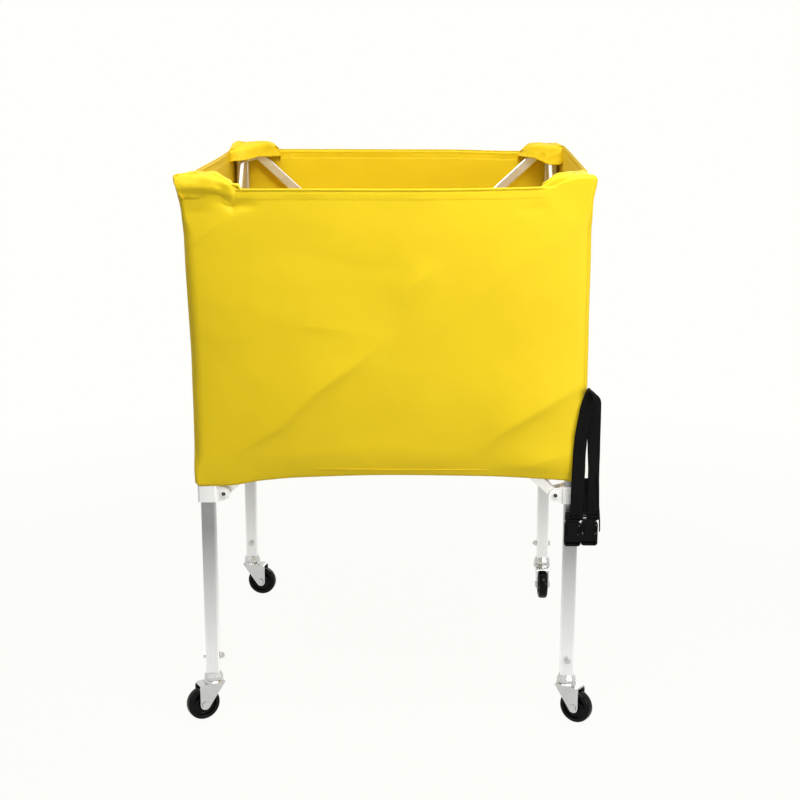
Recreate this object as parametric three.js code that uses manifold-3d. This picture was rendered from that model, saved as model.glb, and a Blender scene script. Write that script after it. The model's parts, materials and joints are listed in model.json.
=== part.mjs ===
// A wheeled ball cart: a square scissor frame that folds to a narrow bundle, four swivel
// casters, and a fabric bag that hangs outside the bars from hoods over the tops of the legs.
// Millimetres, +Z up. The origin is on the floor, under the middle of the whole cart.
import * as THREE from 'three';
import { mergeVertices } from 'three/addons/utils/BufferGeometryUtils.js';
import Module from 'manifold-3d';

const wasm = await Module();
wasm.setup();

// Driving sizes of the frame
const legSpacing = 580;
const legFootHeight = 80;
const upperPinHeight = 877;
const lowerPinHeight = 387;
const pinInset = 26;

// Leg tubes
const legSide = 22;
const legWall = 1.4;
const legCorner = 2.2;

// Scissor bars, their end rivets and the pins where they cross
const barDepth = 17;
const barThick = 7;
const barWall = 1.3;
const barCorner = 1.6;
const barGap = 1.5;
const rivetRadius = 3;
const rivetHeadRadius = 5;
const rivetHeadThick = 1.2;
const spacerRadius = 6;
const crossHeadRadius = 6.5;
const crossHeadThick = 1.6;

// Moulded corner brackets
const collarWall = 3.7;
const collarCorner = 3.5;
const bracketReach = 13.5;
const roofThick = 3;
const earThick = 3.6;
const earRadius = 10.5;
const webThick = 2;

// Clearances
const gap = 0.3;
const slotPlay = 0.4;
const slidePlay = 0.4;

// Casters
const wheelRadius = 28;
const treadWidth = 18;
const treadFlat = 10;
const shoulderDrop = 4;
const rimDepth = 7.5;
const webHalf = 3.2;
const hubRadius = 8.5;
const hubHalf = 9.6;
const casterTrail = 20;
const axleRadius = 3.5;
const axleHeadRadius = 6.4;
const axleHeadThick = 2.2;
const forkInnerWidth = 20.2;
const forkSheet = 1.8;
const forkPlateThick = 2.5;
const forkPlateTop = 62;
const forkEndRadius = 9;
const forkBack = 16;
const forkBackRound = 6;
const raceRadius = 16.5;
const raceHeight = 4;
const raceGroove = 1;
const cupRadius = 15.5;
const cupRim = 5;
const stemRadius = 4.5;
const stemHeadRadius = 7;
const stemHeadThick = 2.2;
const stemNeckRadius = 12;
const plugAboveBolt = 19;
const plugPlay = 0.3;

// Clamp bolts through the feet of the legs
const clampHeight = 107;
const boltRadius = 3;
const boltHeadRadius = 5.6;
const boltHeadThick = 4;
const nutThick = 5.2;
const boltTip = 2.4;

// Bag
const bagInset = 15.5;
const clothThick = 2;
const bottomAbovePin = 35;
const topAbovePin = 5;
const hemDip = 8;
const cornerDroop = 20;
const droopReach = 110;
const floorRise = 6;
const floorPlay = 3;

// Hoods over the tops of the legs
const hoodReach = 62;
const hoodPlateau = 40;
const hoodDrop = 9;
const hoodSkirt = 44;
const hoodSkirtEnd = 26;
const hoodBand = 21;
const hoodBandEnd = 52;
const hoodBandKnee = 48.5;
const hoodBandKneeIn = 12;

// Webbing straps and their buckles, at the front right corner
const webbing = 20;
const strapThick = 3.6;
const strapAboveHem = 146;
const strapBendDrop = 85;
const strapDrop = 205;
const strapApexOut = 1.5;
const frontStrapBend = -10;
const sideStrapBend = 10;
const pairSwing = -4.1;
const tailLength = 33;
const tailPlay = 2;
const tailWidth = 14;
const buckleWidth = 26.5;
const buckleHeight = 55;
const buckleThick = 9;
const buckleRound = 5.5;
const buckleWindowWidth = 5;
const buckleWindowHeight = 19;
const buckleRail = 2.6;
const buckleSlotHeight = 4;

// Overrun of every cut
const overrun = 2;

// Facets on round pieces. An arc in an outline has twice as many as its steps.
const arcSteps = 2;
const cornerSteps = 1;
const wheelSides = 18;
const raceSides = 12;
const pinSides = 8;
const rivetSides = 8;
const hexSides = 6;

// Sizes worked out from the ones above
const halfSpacing = legSpacing / 2;
const halfLeg = legSide / 2;
const barSpan = legSpacing - 2 * pinInset;
const barRise = upperPinHeight - lowerPinHeight;
const barLength = Math.hypot(barSpan, barRise);
const barAngle = Math.atan2(barRise, barSpan);
const barOffset = (barThick + barGap) / 2;
const pairHalf = barOffset + barThick / 2;
const slotHalf = pairHalf + slotPlay;
const armHalf = slotHalf + earThick;
const collarHalf = halfLeg + slidePlay + collarWall;
const bracketTop = upperPinHeight + bracketReach;
const legTop = bracketTop - roofThick - gap;
const axleHeight = wheelRadius * Math.cos(Math.PI / wheelSides);
const forkHalf = forkInnerWidth / 2 + forkSheet;
const bagBottom = lowerPinHeight + bottomAbovePin;
const bagTop = upperPinHeight + topAbovePin;
const bagInner = bagInset - gap;
const bagOuter = bagInset + clothThick;
const bagHalf = halfSpacing + bagOuter;
const floorHeight = bagBottom + floorRise;
const floorHalf = halfSpacing + bagInner;
const barAtFloor = pinInset + (floorHeight + clothThick - lowerPinHeight) / Math.tan(barAngle)
  + barDepth / 2 / Math.sin(barAngle);
const floorCorner = barAtFloor + pairHalf + 2 * bagInner + floorPlay;
const hoodOuter = bagOuter + gap + clothThick;
const hoodInner = hoodOuter - clothThick;
const lidHeight = bracketTop + gap;
const lidTop = lidHeight + clothThick;
const strapTop = bagBottom + strapAboveHem;
const strapBend = strapTop - strapBendDrop;
const strapEnd = strapTop - strapDrop;
const frontStrapEnd = pairSwing - buckleWidth / 2 - gap;
const sideStrapEnd = pairSwing + buckleWidth / 2 + gap;

const quarter = Math.PI / 2;

// Each corner of the frame. A corner's own X and Y point along the two sides that meet there,
// towards the inside. The caster trails along its heading, and the clamp bolt's nut is on the
// side that the bolt points to. Both are angles from +X.
const degree = Math.PI / 180;
const corners = {
  front_left: { x: -halfSpacing, y: -halfSpacing, turn: 0, heading: 210 * degree, bolt: 0 },
  front_right: { x: halfSpacing, y: -halfSpacing, turn: quarter, heading: 325 * degree, bolt: -quarter },
  rear_right: {
    x: halfSpacing, y: halfSpacing, turn: 2 * quarter, heading: 271 * degree, bolt: 2 * quarter,
  },
  rear_left: { x: -halfSpacing, y: halfSpacing, turn: -quarter, heading: 348 * degree, bolt: -quarter },
};

// Each side of the frame, seen from its first corner along the side. Outward is the sign of the
// side's own Y that points away from the cart.
const sides = {
  front: { from: 'front_left', turn: 0, outward: -1 },
  left: { from: 'front_left', turn: quarter, outward: 1 },
  right: { from: 'front_right', turn: quarter, outward: -1 },
  rear: { from: 'rear_left', turn: 0, outward: 1 },
};

const finishes = {
  legs: { color: 0xc6c8c9, roughness: 0.38, metalness: 0.9 },
  bars: { color: 0xbfb9b0, roughness: 0.42, metalness: 0.85 },
  zinc: { color: 0xd2d3d0, roughness: 0.3, metalness: 0.95 },
  whitePlastic: { color: 0xf1efe6, roughness: 0.5, metalness: 0 },
  tyre: { color: 0x151517, roughness: 0.25, metalness: 0 },
  yellowCloth: { color: 0xf0ca2e, roughness: 0.62, metalness: 0 },
  webbing: { color: 0x1b1b1d, roughness: 0.8, metalness: 0 },
  blackPlastic: { color: 0x19191b, roughness: 0.4, metalness: 0 },
};

const cart = new THREE.Group();

function addPart(parent, name, geometry, finish) {
  const mesh = new THREE.Mesh(geometry, new THREE.MeshStandardMaterial(finishes[finish]));
  mesh.name = name;
  parent.add(mesh);
  return mesh;
}

function groupAt(parent, x, y, z, turn) {
  const group = new THREE.Group();
  group.position.set(x, y, z);
  group.rotation.z = turn;
  parent.add(group);
  return group;
}

// A closed mesh as a solid that can be cut and joined
function solidOf(geometry) {
  const bare = new THREE.BufferGeometry();
  bare.setAttribute('position', geometry.getAttribute('position').clone());
  if (geometry.index) {
    bare.setIndex(geometry.index.clone());
  }
  const merged = mergeVertices(bare);
  return new wasm.Manifold(new wasm.Mesh({
    numProp: 3,
    vertProperties: new Float32Array(merged.getAttribute('position').array),
    triVerts: new Uint32Array(merged.index.array),
  }));
}

function geometryOf(solid) {
  const { vertProperties, triVerts } = solid.getMesh();
  const geometry = new THREE.BufferGeometry();
  geometry.setAttribute('position', new THREE.BufferAttribute(vertProperties, 3));
  geometry.setIndex(new THREE.BufferAttribute(triVerts, 1));
  geometry.computeVertexNormals();
  return geometry;
}

function joined(geometries) {
  return geometries.map(solidOf).reduce((whole, next) => whole.add(next));
}

// A slab of a drawn outline, from its middle plane both ways: flat, or stood up so that the
// outline's Y becomes Z
function slab(shape, thick, steps) {
  const options = { depth: thick, bevelEnabled: false, curveSegments: steps };
  return new THREE.ExtrudeGeometry(shape, options).translate(0, 0, -thick / 2);
}

function uprightSlab(shape, thick, steps) {
  return slab(shape, thick, steps).rotateX(quarter);
}

// A tube or block whose section is drawn across +X and that runs along +X
function alongX(geometry) {
  const basis = new THREE.Matrix4().makeBasis(
    new THREE.Vector3(0, 1, 0),
    new THREE.Vector3(0, 0, 1),
    new THREE.Vector3(1, 0, 0),
  );
  return geometry.applyMatrix4(basis);
}

function roundedRect(width, height, radius) {
  const w = width / 2;
  const h = height / 2;
  const shape = new THREE.Shape();
  shape.absarc(w - radius, h - radius, radius, 0, quarter, false);
  shape.absarc(radius - w, h - radius, radius, quarter, 2 * quarter, false);
  shape.absarc(radius - w, radius - h, radius, 2 * quarter, 3 * quarter, false);
  shape.absarc(w - radius, radius - h, radius, 3 * quarter, 4 * quarter, false);
  return shape;
}

function chamferedRect(width, height, chamfer) {
  const w = width / 2;
  const h = height / 2;
  return outline([
    [w, chamfer - h],
    [w, h - chamfer],
    [w - chamfer, h],
    [chamfer - w, h],
    [-w, h - chamfer],
    [-w, chamfer - h],
    [chamfer - w, -h],
    [w - chamfer, -h],
  ]);
}

function plainRect(width, height) {
  const w = width / 2;
  const h = height / 2;
  return outline([[w, -h], [w, h], [-w, h], [-w, -h]]);
}

function outline(points) {
  return new THREE.Shape(points.map(([x, y]) => new THREE.Vector2(x, y)));
}

function block(xFrom, xTo, yFrom, yTo, zFrom, zTo) {
  return new THREE.BoxGeometry(xTo - xFrom, yTo - yFrom, zTo - zFrom)
    .translate((xFrom + xTo) / 2, (yFrom + yTo) / 2, (zFrom + zTo) / 2);
}

// A round or hexagonal rod, upright or along Y, between two heights or two places
function rodZ(radius, zFrom, zTo, facets) {
  return new THREE.CylinderGeometry(radius, radius, zTo - zFrom, facets)
    .rotateX(quarter)
    .translate(0, 0, (zFrom + zTo) / 2);
}

function rodY(radius, yFrom, yTo, facets) {
  return new THREE.CylinderGeometry(radius, radius, yTo - yFrom, facets)
    .translate(0, (yFrom + yTo) / 2, 0);
}

// Radius of a faceted hole whose flats keep the gap to a round piece that turns in it
function holeRadius(radius, facets) {
  return (radius + gap) / Math.cos(Math.PI / facets);
}

// A revolved piece about Y or about the upright axis, from [radius, place] pairs
function turnedY(profile, facets) {
  const points = profile.map(([radius, place]) => new THREE.Vector2(radius, place));
  return new THREE.LatheGeometry(points, facets);
}

function turnedZ(profile, facets) {
  return turnedY(profile, facets).rotateX(quarter);
}

// Square leg tube, open at its foot, with the clamp bolt's cross hole
function legTube(boltTurn) {
  const section = roundedRect(legSide, legSide, legCorner);
  const bore = legSide - 2 * legWall;
  section.holes.push(plainRect(bore, bore));
  const length = legTop - legFootHeight;
  const tube = slab(section, length, cornerSteps).translate(0, 0, legFootHeight + length / 2);
  const hole = rodY(holeRadius(boltRadius, pinSides), -legSide, legSide, pinSides)
    .rotateZ(boltTurn - quarter)
    .translate(0, 0, clampHeight);
  return geometryOf(solidOf(tube).subtract(solidOf(hole)));
}

// Side view of a bracket's arm: full height at the collar, rounded off about the pin
function armOutline() {
  const slant = Math.asin((bracketReach - earRadius) / pinInset);
  const shape = new THREE.Shape();
  shape.moveTo(0, -bracketReach);
  shape.lineTo(collarHalf, -bracketReach);
  shape.absarc(pinInset, 0, earRadius, slant - quarter, quarter - slant, false);
  shape.lineTo(collarHalf, bracketReach);
  shape.lineTo(0, bracketReach);
  return shape;
}

// Moulded bracket: a collar round the leg and a forked arm along each side, with its middle
// at the height of the pins. Under the tops of the legs the forks open downwards and a roof
// caps the tube. The sliding ones are open upwards, and the tube runs right through.
function bracket(cap) {
  const collarSide = 2 * collarHalf;
  const collar = slab(roundedRect(collarSide, collarSide, collarCorner), 2 * bracketReach, cornerSteps);
  const arm = uprightSlab(armOutline(), 2 * armHalf, arcSteps);
  const otherArm = arm.clone().rotateZ(quarter);
  const body = joined([collar, arm, otherArm]);

  const toRoof = bracketReach - roofThick;
  const slotFloor = -bracketReach - overrun;
  const slotRoof = toRoof;
  const slotStart = collarHalf + webThick;
  const slotEnd = pinInset + earRadius + overrun;
  const slot = block(slotStart, slotEnd, -slotHalf, slotHalf, slotFloor, slotRoof);
  if (!cap) {
    slot.rotateX(2 * quarter);
  }
  const pinRadius = holeRadius(rivetRadius, rivetSides);
  const pinHole = rodY(pinRadius, -armHalf - overrun, armHalf + overrun, rivetSides)
    .translate(pinInset, 0, 0);
  const cuts = [slot, pinHole];
  const otherCuts = cuts.map((cut) => cut.clone().rotateZ(quarter));

  const boreHalf = halfLeg + slidePlay;
  const boreTop = cap ? toRoof : bracketReach + overrun;
  const boreSection = chamferedRect(2 * boreHalf, 2 * boreHalf, legCorner / 2);
  const bore = slab(boreSection, boreTop - slotFloor, cornerSteps)
    .translate(0, 0, (boreTop + slotFloor) / 2);
  return geometryOf(body.subtract(joined([bore, ...cuts, ...otherCuts])));
}

// Clamp bolt through the foot of a leg: hexagonal head on one side, nut and thread end on the other
function clampBolt() {
  const seat = halfLeg + gap;
  const head = rodY(boltHeadRadius, -seat - boltHeadThick, -seat, hexSides);
  const nut = rodY(boltHeadRadius, seat, seat + nutThick, hexSides);
  const shank = rodY(boltRadius, -seat - boltHeadThick / 2, seat + nutThick + boltTip, pinSides);
  return geometryOf(joined([head, nut, shank])).rotateZ(-quarter);
}

// Flattened tube bar from its first pin, at the start of its own X, to its second, with the
// rivets and the spacers that fill its half of each fork. Lean is the side of the frame's
// plane that the bar lies on.
function scissorBar(lean) {
  const section = chamferedRect(barThick, barDepth, barCorner);
  section.holes.push(plainRect(barThick - 2 * barWall, barDepth - 2 * barWall));
  const tube = alongX(slab(section, barLength + 2 * barDepth, cornerSteps)).translate(barLength / 2, 0, 0);
  const endRound = barDepth / 2;
  const ends = new THREE.Shape();
  ends.absarc(barLength, 0, endRound, -quarter, quarter, false);
  ends.absarc(0, 0, endRound, quarter, 3 * quarter, false);
  const roundEnded = solidOf(tube).intersect(solidOf(uprightSlab(ends, barThick + overrun, arcSteps)));
  const crossHole = rodY(holeRadius(rivetRadius, pinSides), -barThick, barThick, pinSides)
    .translate(barLength / 2, 0, 0);
  const rivets = [0, barLength].map((place) => endRivet(lean).translate(place, 0, 0));
  return geometryOf(roundEnded.subtract(solidOf(crossHole)).add(joined(rivets)));
}

// Rivet through both ears of a fork, with a head outside each ear and the spacer beside its bar,
// turned about Y
function endRivet(lean) {
  const headEnd = armHalf + gap + rivetHeadThick;
  const nearHead = headEnd - barOffset;
  const farHead = -headEnd - barOffset;
  const spacerEnd = -pairHalf - barOffset;
  const rivet = turnedY([
    [0, farHead],
    [rivetHeadRadius, farHead],
    [rivetHeadRadius, farHead + rivetHeadThick],
    [rivetRadius, farHead + rivetHeadThick],
    [rivetRadius, spacerEnd],
    [spacerRadius, spacerEnd],
    [spacerRadius, 0],
    [rivetRadius, 0],
    [rivetRadius, nearHead - rivetHeadThick],
    [rivetHeadRadius, nearHead - rivetHeadThick],
    [rivetHeadRadius, nearHead],
    [0, nearHead],
  ], rivetSides);
  return lean > 0 ? rivet : rivet.rotateX(2 * quarter);
}

// Shouldered pin where two bars cross, with a head outside each bar and a washer between them
function crossPin() {
  const inner = pairHalf + gap;
  const headEnd = inner + crossHeadThick;
  const washerHalf = barGap / 2 - gap;
  return turnedY([
    [0, -headEnd],
    [crossHeadRadius, -headEnd],
    [crossHeadRadius, -inner],
    [rivetRadius, -inner],
    [rivetRadius, -washerHalf],
    [spacerRadius, -washerHalf],
    [spacerRadius, washerHalf],
    [rivetRadius, washerHalf],
    [rivetRadius, inner],
    [crossHeadRadius, inner],
    [crossHeadRadius, headEnd],
    [0, headEnd],
  ], pinSides);
}

// Fixed half of a caster: riveted king pin, upper bearing cup, neck, and the square plug that
// fills the foot of the leg
function casterStem(boltTurn) {
  const plateBottom = forkPlateTop - forkPlateThick;
  const cupBottom = forkPlateTop + raceHeight + raceGroove;
  const cupTop = cupBottom + cupRim;
  const neckTop = legFootHeight - gap;
  const turned = turnedZ([
    [0, plateBottom - gap - stemHeadThick],
    [stemHeadRadius, plateBottom - gap - stemHeadThick],
    [stemHeadRadius, plateBottom - gap],
    [stemRadius, plateBottom - gap],
    [stemRadius, cupBottom],
    [cupRadius, cupBottom],
    [cupRadius, cupTop],
    [stemNeckRadius, neckTop],
    [0, neckTop],
  ], raceSides);
  const plugSide = legSide - 2 * (legWall + plugPlay);
  const plugTop = clampHeight + plugAboveBolt;
  const plugHeight = plugTop - neckTop + cupRim;
  const plug = slab(chamferedRect(plugSide, plugSide, legCorner / 2), plugHeight, cornerSteps)
    .translate(0, 0, plugTop - plugHeight / 2);
  const hole = rodY(holeRadius(boltRadius, pinSides), -legSide, legSide, pinSides)
    .rotateZ(boltTurn - quarter)
    .translate(0, 0, clampHeight);
  return geometryOf(joined([turned, plug]).subtract(solidOf(hole)));
}

// Stamped fork that trails along its own +X: top plate with the lower bearing race, and two
// cheeks down to the axle
function casterFork() {
  const tail = casterTrail + forkEndRadius;
  const plateBottom = forkPlateTop - forkPlateThick;
  const rise = forkPlateTop - axleHeight;
  const run = forkBack + casterTrail;
  const slant = Math.atan2(rise, run) + Math.acos(forkEndRadius / Math.hypot(run, rise));
  const side = new THREE.Shape();
  side.moveTo(-forkBack, plateBottom);
  side.absarc(casterTrail, axleHeight, forkEndRadius, 3 * quarter - (slant - quarter), 4 * quarter, false);
  side.lineTo(tail, forkPlateTop - forkBackRound);
  side.absarc(tail - forkBackRound, forkPlateTop - forkBackRound, forkBackRound, 0, quarter, false);
  side.lineTo(-forkBack, forkPlateTop);
  const cheeks = uprightSlab(side, 2 * forkHalf, arcSteps);
  const race = turnedZ([
    [0, plateBottom],
    [raceRadius, plateBottom],
    [raceRadius, forkPlateTop + raceHeight / 2],
    [raceRadius - raceHeight / 2, forkPlateTop + raceHeight],
    [0, forkPlateTop + raceHeight],
  ], raceSides);
  const channel = block(
    -forkBack - overrun,
    tail + overrun,
    -forkInnerWidth / 2,
    forkInnerWidth / 2,
    axleHeight - forkEndRadius - overrun,
    plateBottom,
  );
  const kingRadius = holeRadius(stemRadius, pinSides);
  const kingHole = rodZ(kingRadius, plateBottom - overrun, forkPlateTop + raceHeight + overrun, pinSides);
  const axleHole = rodY(holeRadius(axleRadius, pinSides), -forkHalf - overrun, forkHalf + overrun, pinSides)
    .translate(casterTrail, 0, axleHeight);
  return geometryOf(joined([cheeks, race]).subtract(joined([channel, kingHole, axleHole])));
}

// Moulded wheel with a crowned tread, a dished web and a hub, centred on its axle along Y. A
// facet of the tread, and not an edge, faces straight down.
function casterWheel() {
  const bore = holeRadius(axleRadius, wheelSides);
  const rim = wheelRadius - rimDepth;
  const half = [
    [bore, hubHalf],
    [hubRadius, hubHalf],
    [hubRadius, webHalf],
    [rim, webHalf],
    [rim, treadWidth / 2],
    [wheelRadius - shoulderDrop, treadWidth / 2],
    [wheelRadius, treadFlat / 2],
  ];
  const otherHalf = half.map(([radius, place]) => [radius, -place]).reverse();
  const profile = [...half, ...otherHalf, half[0]].reverse();
  return turnedY(profile, wheelSides).rotateY(Math.PI / wheelSides);
}

// Axle bolt of a caster, centred on the wheel along Y
function casterAxle() {
  const seat = forkHalf + gap;
  return geometryOf(joined([
    rodY(axleRadius, -seat - axleHeadThick, seat + axleHeadThick, pinSides),
    rodY(axleHeadRadius, -seat - axleHeadThick, -seat, hexSides),
    rodY(axleHeadRadius, seat, seat + axleHeadThick, hexSides),
  ]));
}

// Outline of a bag wall between two places along it: the top hem dips in the middle, and the
// bottom hem droops at both corners
function wallOutline(half) {
  const droop = bagBottom - cornerDroop;
  const shape = new THREE.Shape();
  shape.moveTo(-half, droop);
  shape.quadraticCurveTo(-half + droopReach / 2, droop, -half + droopReach, bagBottom);
  shape.lineTo(half - droopReach, bagBottom);
  shape.quadraticCurveTo(half - droopReach / 2, droop, half, droop);
  shape.lineTo(half, bagTop);
  shape.quadraticCurveTo(0, bagTop - 2 * hemDip, -half, bagTop);
  return shape;
}

function bagWall(half) {
  return uprightSlab(wallOutline(half), clothThick, 2 * arcSteps);
}

// One of the four flaps that make the bag's floor, from its hem along -Y to the middle. Its
// corners are cut off so that the legs and bars pass outside it.
function floorFlap() {
  const hem = floorHalf - floorCorner;
  const diagonal = floorHalf - floorCorner / 2;
  const seam = gap;
  return slab(outline([
    [-hem, -floorHalf],
    [hem, -floorHalf],
    [diagonal - seam, -diagonal],
    [0, -seam],
    [seam - diagonal, -diagonal],
  ]), clothThick, cornerSteps);
}

// Everything under a hood's outer faces. Its roof is flat over the bracket and slopes down along
// both sides, and in plan its band bows round the ends of the bracket's arms.
function hoodSpace() {
  const low = lidTop - hoodSkirt;
  const plan = slab(outline([
    [-hoodOuter, -hoodOuter],
    [hoodReach, -hoodOuter],
    [hoodReach, -hoodInner],
    [hoodBandEnd, -bagInner],
    [hoodBandKnee, hoodBandKneeIn],
    [hoodBandKneeIn, hoodBandKnee],
    [-bagInner, hoodBandEnd],
    [-hoodInner, hoodReach],
    [-hoodOuter, hoodReach],
  ]), hoodSkirt, cornerSteps).translate(0, 0, low + hoodSkirt / 2);
  const roof = solidOf(uprightSlab(outline([
    [-hoodReach, low - overrun],
    [hoodReach + overrun, low - overrun],
    [hoodReach + overrun, lidTop - hoodDrop],
    [hoodReach, lidTop - hoodDrop],
    [hoodPlateau, lidTop],
    [-hoodReach, lidTop],
  ]), 2 * (hoodReach + overrun), cornerSteps));
  return solidOf(plan).intersect(roof).intersect(roof.mirror([1, -1, 0]));
}

// Hood that hooks the bag over a leg: a lid, an outer skirt along each side, and a band
// across the inside of the corner
function hood() {
  const space = hoodSpace();
  const lid = space.subtract(space.translate([0, 0, -clothThick]));
  const skirt = solidOf(uprightSlab(outline([
    [-hoodOuter, lidTop],
    [-hoodOuter, lidTop - hoodSkirt],
    [0, lidTop - hoodSkirt],
    [hoodReach, lidTop - hoodSkirtEnd],
    [hoodReach, lidTop - hoodDrop],
    [hoodPlateau, lidTop],
  ]), clothThick, cornerSteps).translate(0, clothThick / 2 - hoodOuter, 0));
  const strip = slab(outline([
    [hoodBandEnd, -bagInner],
    [hoodBandKnee, hoodBandKneeIn],
    [hoodBandKneeIn, hoodBandKnee],
    [-bagInner, hoodBandEnd],
    [-bagInner, hoodBandEnd - clothThick],
    [hoodBandKneeIn - clothThick / 2, hoodBandKnee - clothThick],
    [hoodBandKnee - clothThick, hoodBandKneeIn - clothThick / 2],
    [hoodBandEnd - clothThick, -bagInner],
  ]), hoodBand, cornerSteps).translate(0, 0, lidTop - hoodBand / 2);
  const band = solidOf(strip).intersect(space);
  return geometryOf(lid.add(band).add(skirt).add(skirt.mirror([1, -1, 0])));
}

// A strip of doubled webbing that hangs from the corner of the bag and swings out sideways to
// a bend, and then to its end
function strapStrip(bend, end) {
  const half = webbing / 2;
  return uprightSlab(outline([
    [-half, strapTop],
    [bend - half, strapBend],
    [end - half, strapEnd],
    [end + half, strapEnd],
    [bend + half, strapBend],
    [half, strapTop],
  ]), strapThick, cornerSteps);
}

// The strip beside it has a loose tail, turned edge-on, that passes outside its buckle
function sideStrap() {
  const strip = strapStrip(sideStrapBend, sideStrapEnd);
  const stripEdge = sideStrapBend + webbing / 2;
  const tailEdge = sideStrapEnd + buckleWidth / 2 + tailPlay;
  const tail = uprightSlab(outline([
    [stripEdge - strapThick / 2, strapBend],
    [tailEdge, strapEnd - tailLength],
    [tailEdge + strapThick, strapEnd - tailLength],
    [stripEdge + strapThick / 2, strapBend],
  ]), tailWidth, cornerSteps).translate(0, (tailWidth - strapThick) / 2, 0);
  return geometryOf(joined([strip, tail]));
}

// Closed side-release buckle, hanging from the origin, with its two side windows and a slot for
// the webbing at each end
function buckle() {
  const body = uprightSlab(roundedRect(buckleWidth, buckleHeight, buckleRound), buckleThick, arcSteps / 2);
  const windowPlace = buckleWidth / 2 - buckleRail - buckleWindowWidth / 2;
  const slotPlace = buckleHeight / 2 - buckleRail - buckleSlotHeight / 2;
  const windowAt = (x, z, width, height) => block(
    x - width / 2,
    x + width / 2,
    -buckleThick,
    buckleThick,
    z - height / 2,
    z + height / 2,
  );
  const windows = joined([
    windowAt(-windowPlace, 0, buckleWindowWidth, buckleWindowHeight),
    windowAt(windowPlace, 0, buckleWindowWidth, buckleWindowHeight),
    windowAt(0, slotPlace, webbing, buckleSlotHeight),
    windowAt(0, -slotPlace, webbing, buckleSlotHeight),
  ]);
  return geometryOf(solidOf(body).subtract(windows)).translate(0, 0, -buckleHeight / 2);
}

function addCorner(name, corner) {
  const turned = groupAt(cart, corner.x, corner.y, 0, corner.turn);
  const straight = groupAt(cart, corner.x, corner.y, 0, 0);
  addPart(straight, `leg_${name}`, legTube(corner.bolt), 'legs');
  addPart(turned, `upper_bracket_${name}`, bracket(true), 'whitePlastic').position.z = upperPinHeight;
  addPart(turned, `slider_${name}`, bracket(false), 'whitePlastic').position.z = lowerPinHeight;
  addPart(turned, `hood_${name}`, hood(), 'yellowCloth');
  addPart(straight, `caster_stem_${name}`, casterStem(corner.bolt), 'zinc');
  const bolt = groupAt(straight, 0, 0, clampHeight, corner.bolt);
  addPart(bolt, `clamp_bolt_${name}`, clampBolt(), 'zinc');
  const caster = groupAt(straight, 0, 0, 0, corner.heading);
  addPart(caster, `caster_fork_${name}`, casterFork(), 'zinc');
  const hub = groupAt(caster, casterTrail, 0, axleHeight, 0);
  addPart(hub, `caster_wheel_${name}`, casterWheel(), 'tyre');
  addPart(hub, `caster_axle_${name}`, casterAxle(), 'zinc');
}

function addScissor(name, side) {
  const { x, y } = corners[side.from];
  const plane = groupAt(cart, x, y, 0, side.turn);
  const lean = side.outward;
  const down = addPart(plane, `bar_${name}_a`, scissorBar(lean), 'bars');
  down.position.set(pinInset, lean * barOffset, upperPinHeight);
  down.rotation.y = barAngle;
  const up = addPart(plane, `bar_${name}_b`, scissorBar(-lean), 'bars');
  up.position.set(pinInset, -lean * barOffset, lowerPinHeight);
  up.rotation.y = -barAngle;
  const pin = addPart(plane, `cross_pin_${name}`, crossPin(), 'zinc');
  pin.position.set(halfSpacing, 0, (upperPinHeight + lowerPinHeight) / 2);
}

function addBag() {
  const wallPlace = bagHalf - clothThick / 2;
  const shortHalf = bagHalf - clothThick - gap;
  const front = addPart(cart, 'bag_front', bagWall(bagHalf), 'yellowCloth');
  front.position.y = -wallPlace;
  const rear = addPart(cart, 'bag_rear', bagWall(bagHalf), 'yellowCloth');
  rear.position.y = wallPlace;
  const left = addPart(cart, 'bag_left', bagWall(shortHalf), 'yellowCloth');
  left.rotation.z = quarter;
  left.position.x = -wallPlace;
  const right = addPart(cart, 'bag_right', bagWall(shortHalf), 'yellowCloth');
  right.rotation.z = quarter;
  right.position.x = wallPlace;
  ['front', 'right', 'rear', 'left'].forEach((name, index) => {
    const flap = addPart(cart, `bag_floor_${name}`, floorFlap(), 'yellowCloth');
    flap.rotation.z = index * quarter;
    flap.position.z = floorHeight;
  });
}

function addStraps() {
  const apex = bagHalf + strapApexOut;
  const sideDepth = -bagHalf - gap - strapThick / 2;
  const frontDepth = sideDepth - strapThick - gap;
  const hanging = [
    ['side', sideStrap(), sideDepth, sideStrapEnd],
    ['front', strapFront(), frontDepth, frontStrapEnd],
  ];
  hanging.forEach(([name, geometry, depth, end]) => {
    const strap = addPart(cart, `strap_${name}`, geometry, 'webbing');
    strap.position.set(apex, depth, 0);
    const clasp = addPart(cart, `buckle_${name}`, buckle(), 'blackPlastic');
    clasp.position.set(apex + end, depth, strapEnd - gap);
  });
}

function strapFront() {
  return strapStrip(frontStrapBend, frontStrapEnd);
}

Object.entries(corners).forEach(([name, corner]) => addCorner(name, corner));
Object.entries(sides).forEach(([name, side]) => addScissor(name, side));
addBag();
addStraps();

// The origin goes under the middle of the whole cart
const footprint = new THREE.Box3().setFromObject(cart);
const middle = footprint.getCenter(new THREE.Vector3());
cart.position.set(-middle.x, -middle.y, 0);

export default cart;
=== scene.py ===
import json
import math

import bmesh
import bpy
import numpy as np
from mathutils import Matrix, Vector, noise

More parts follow.
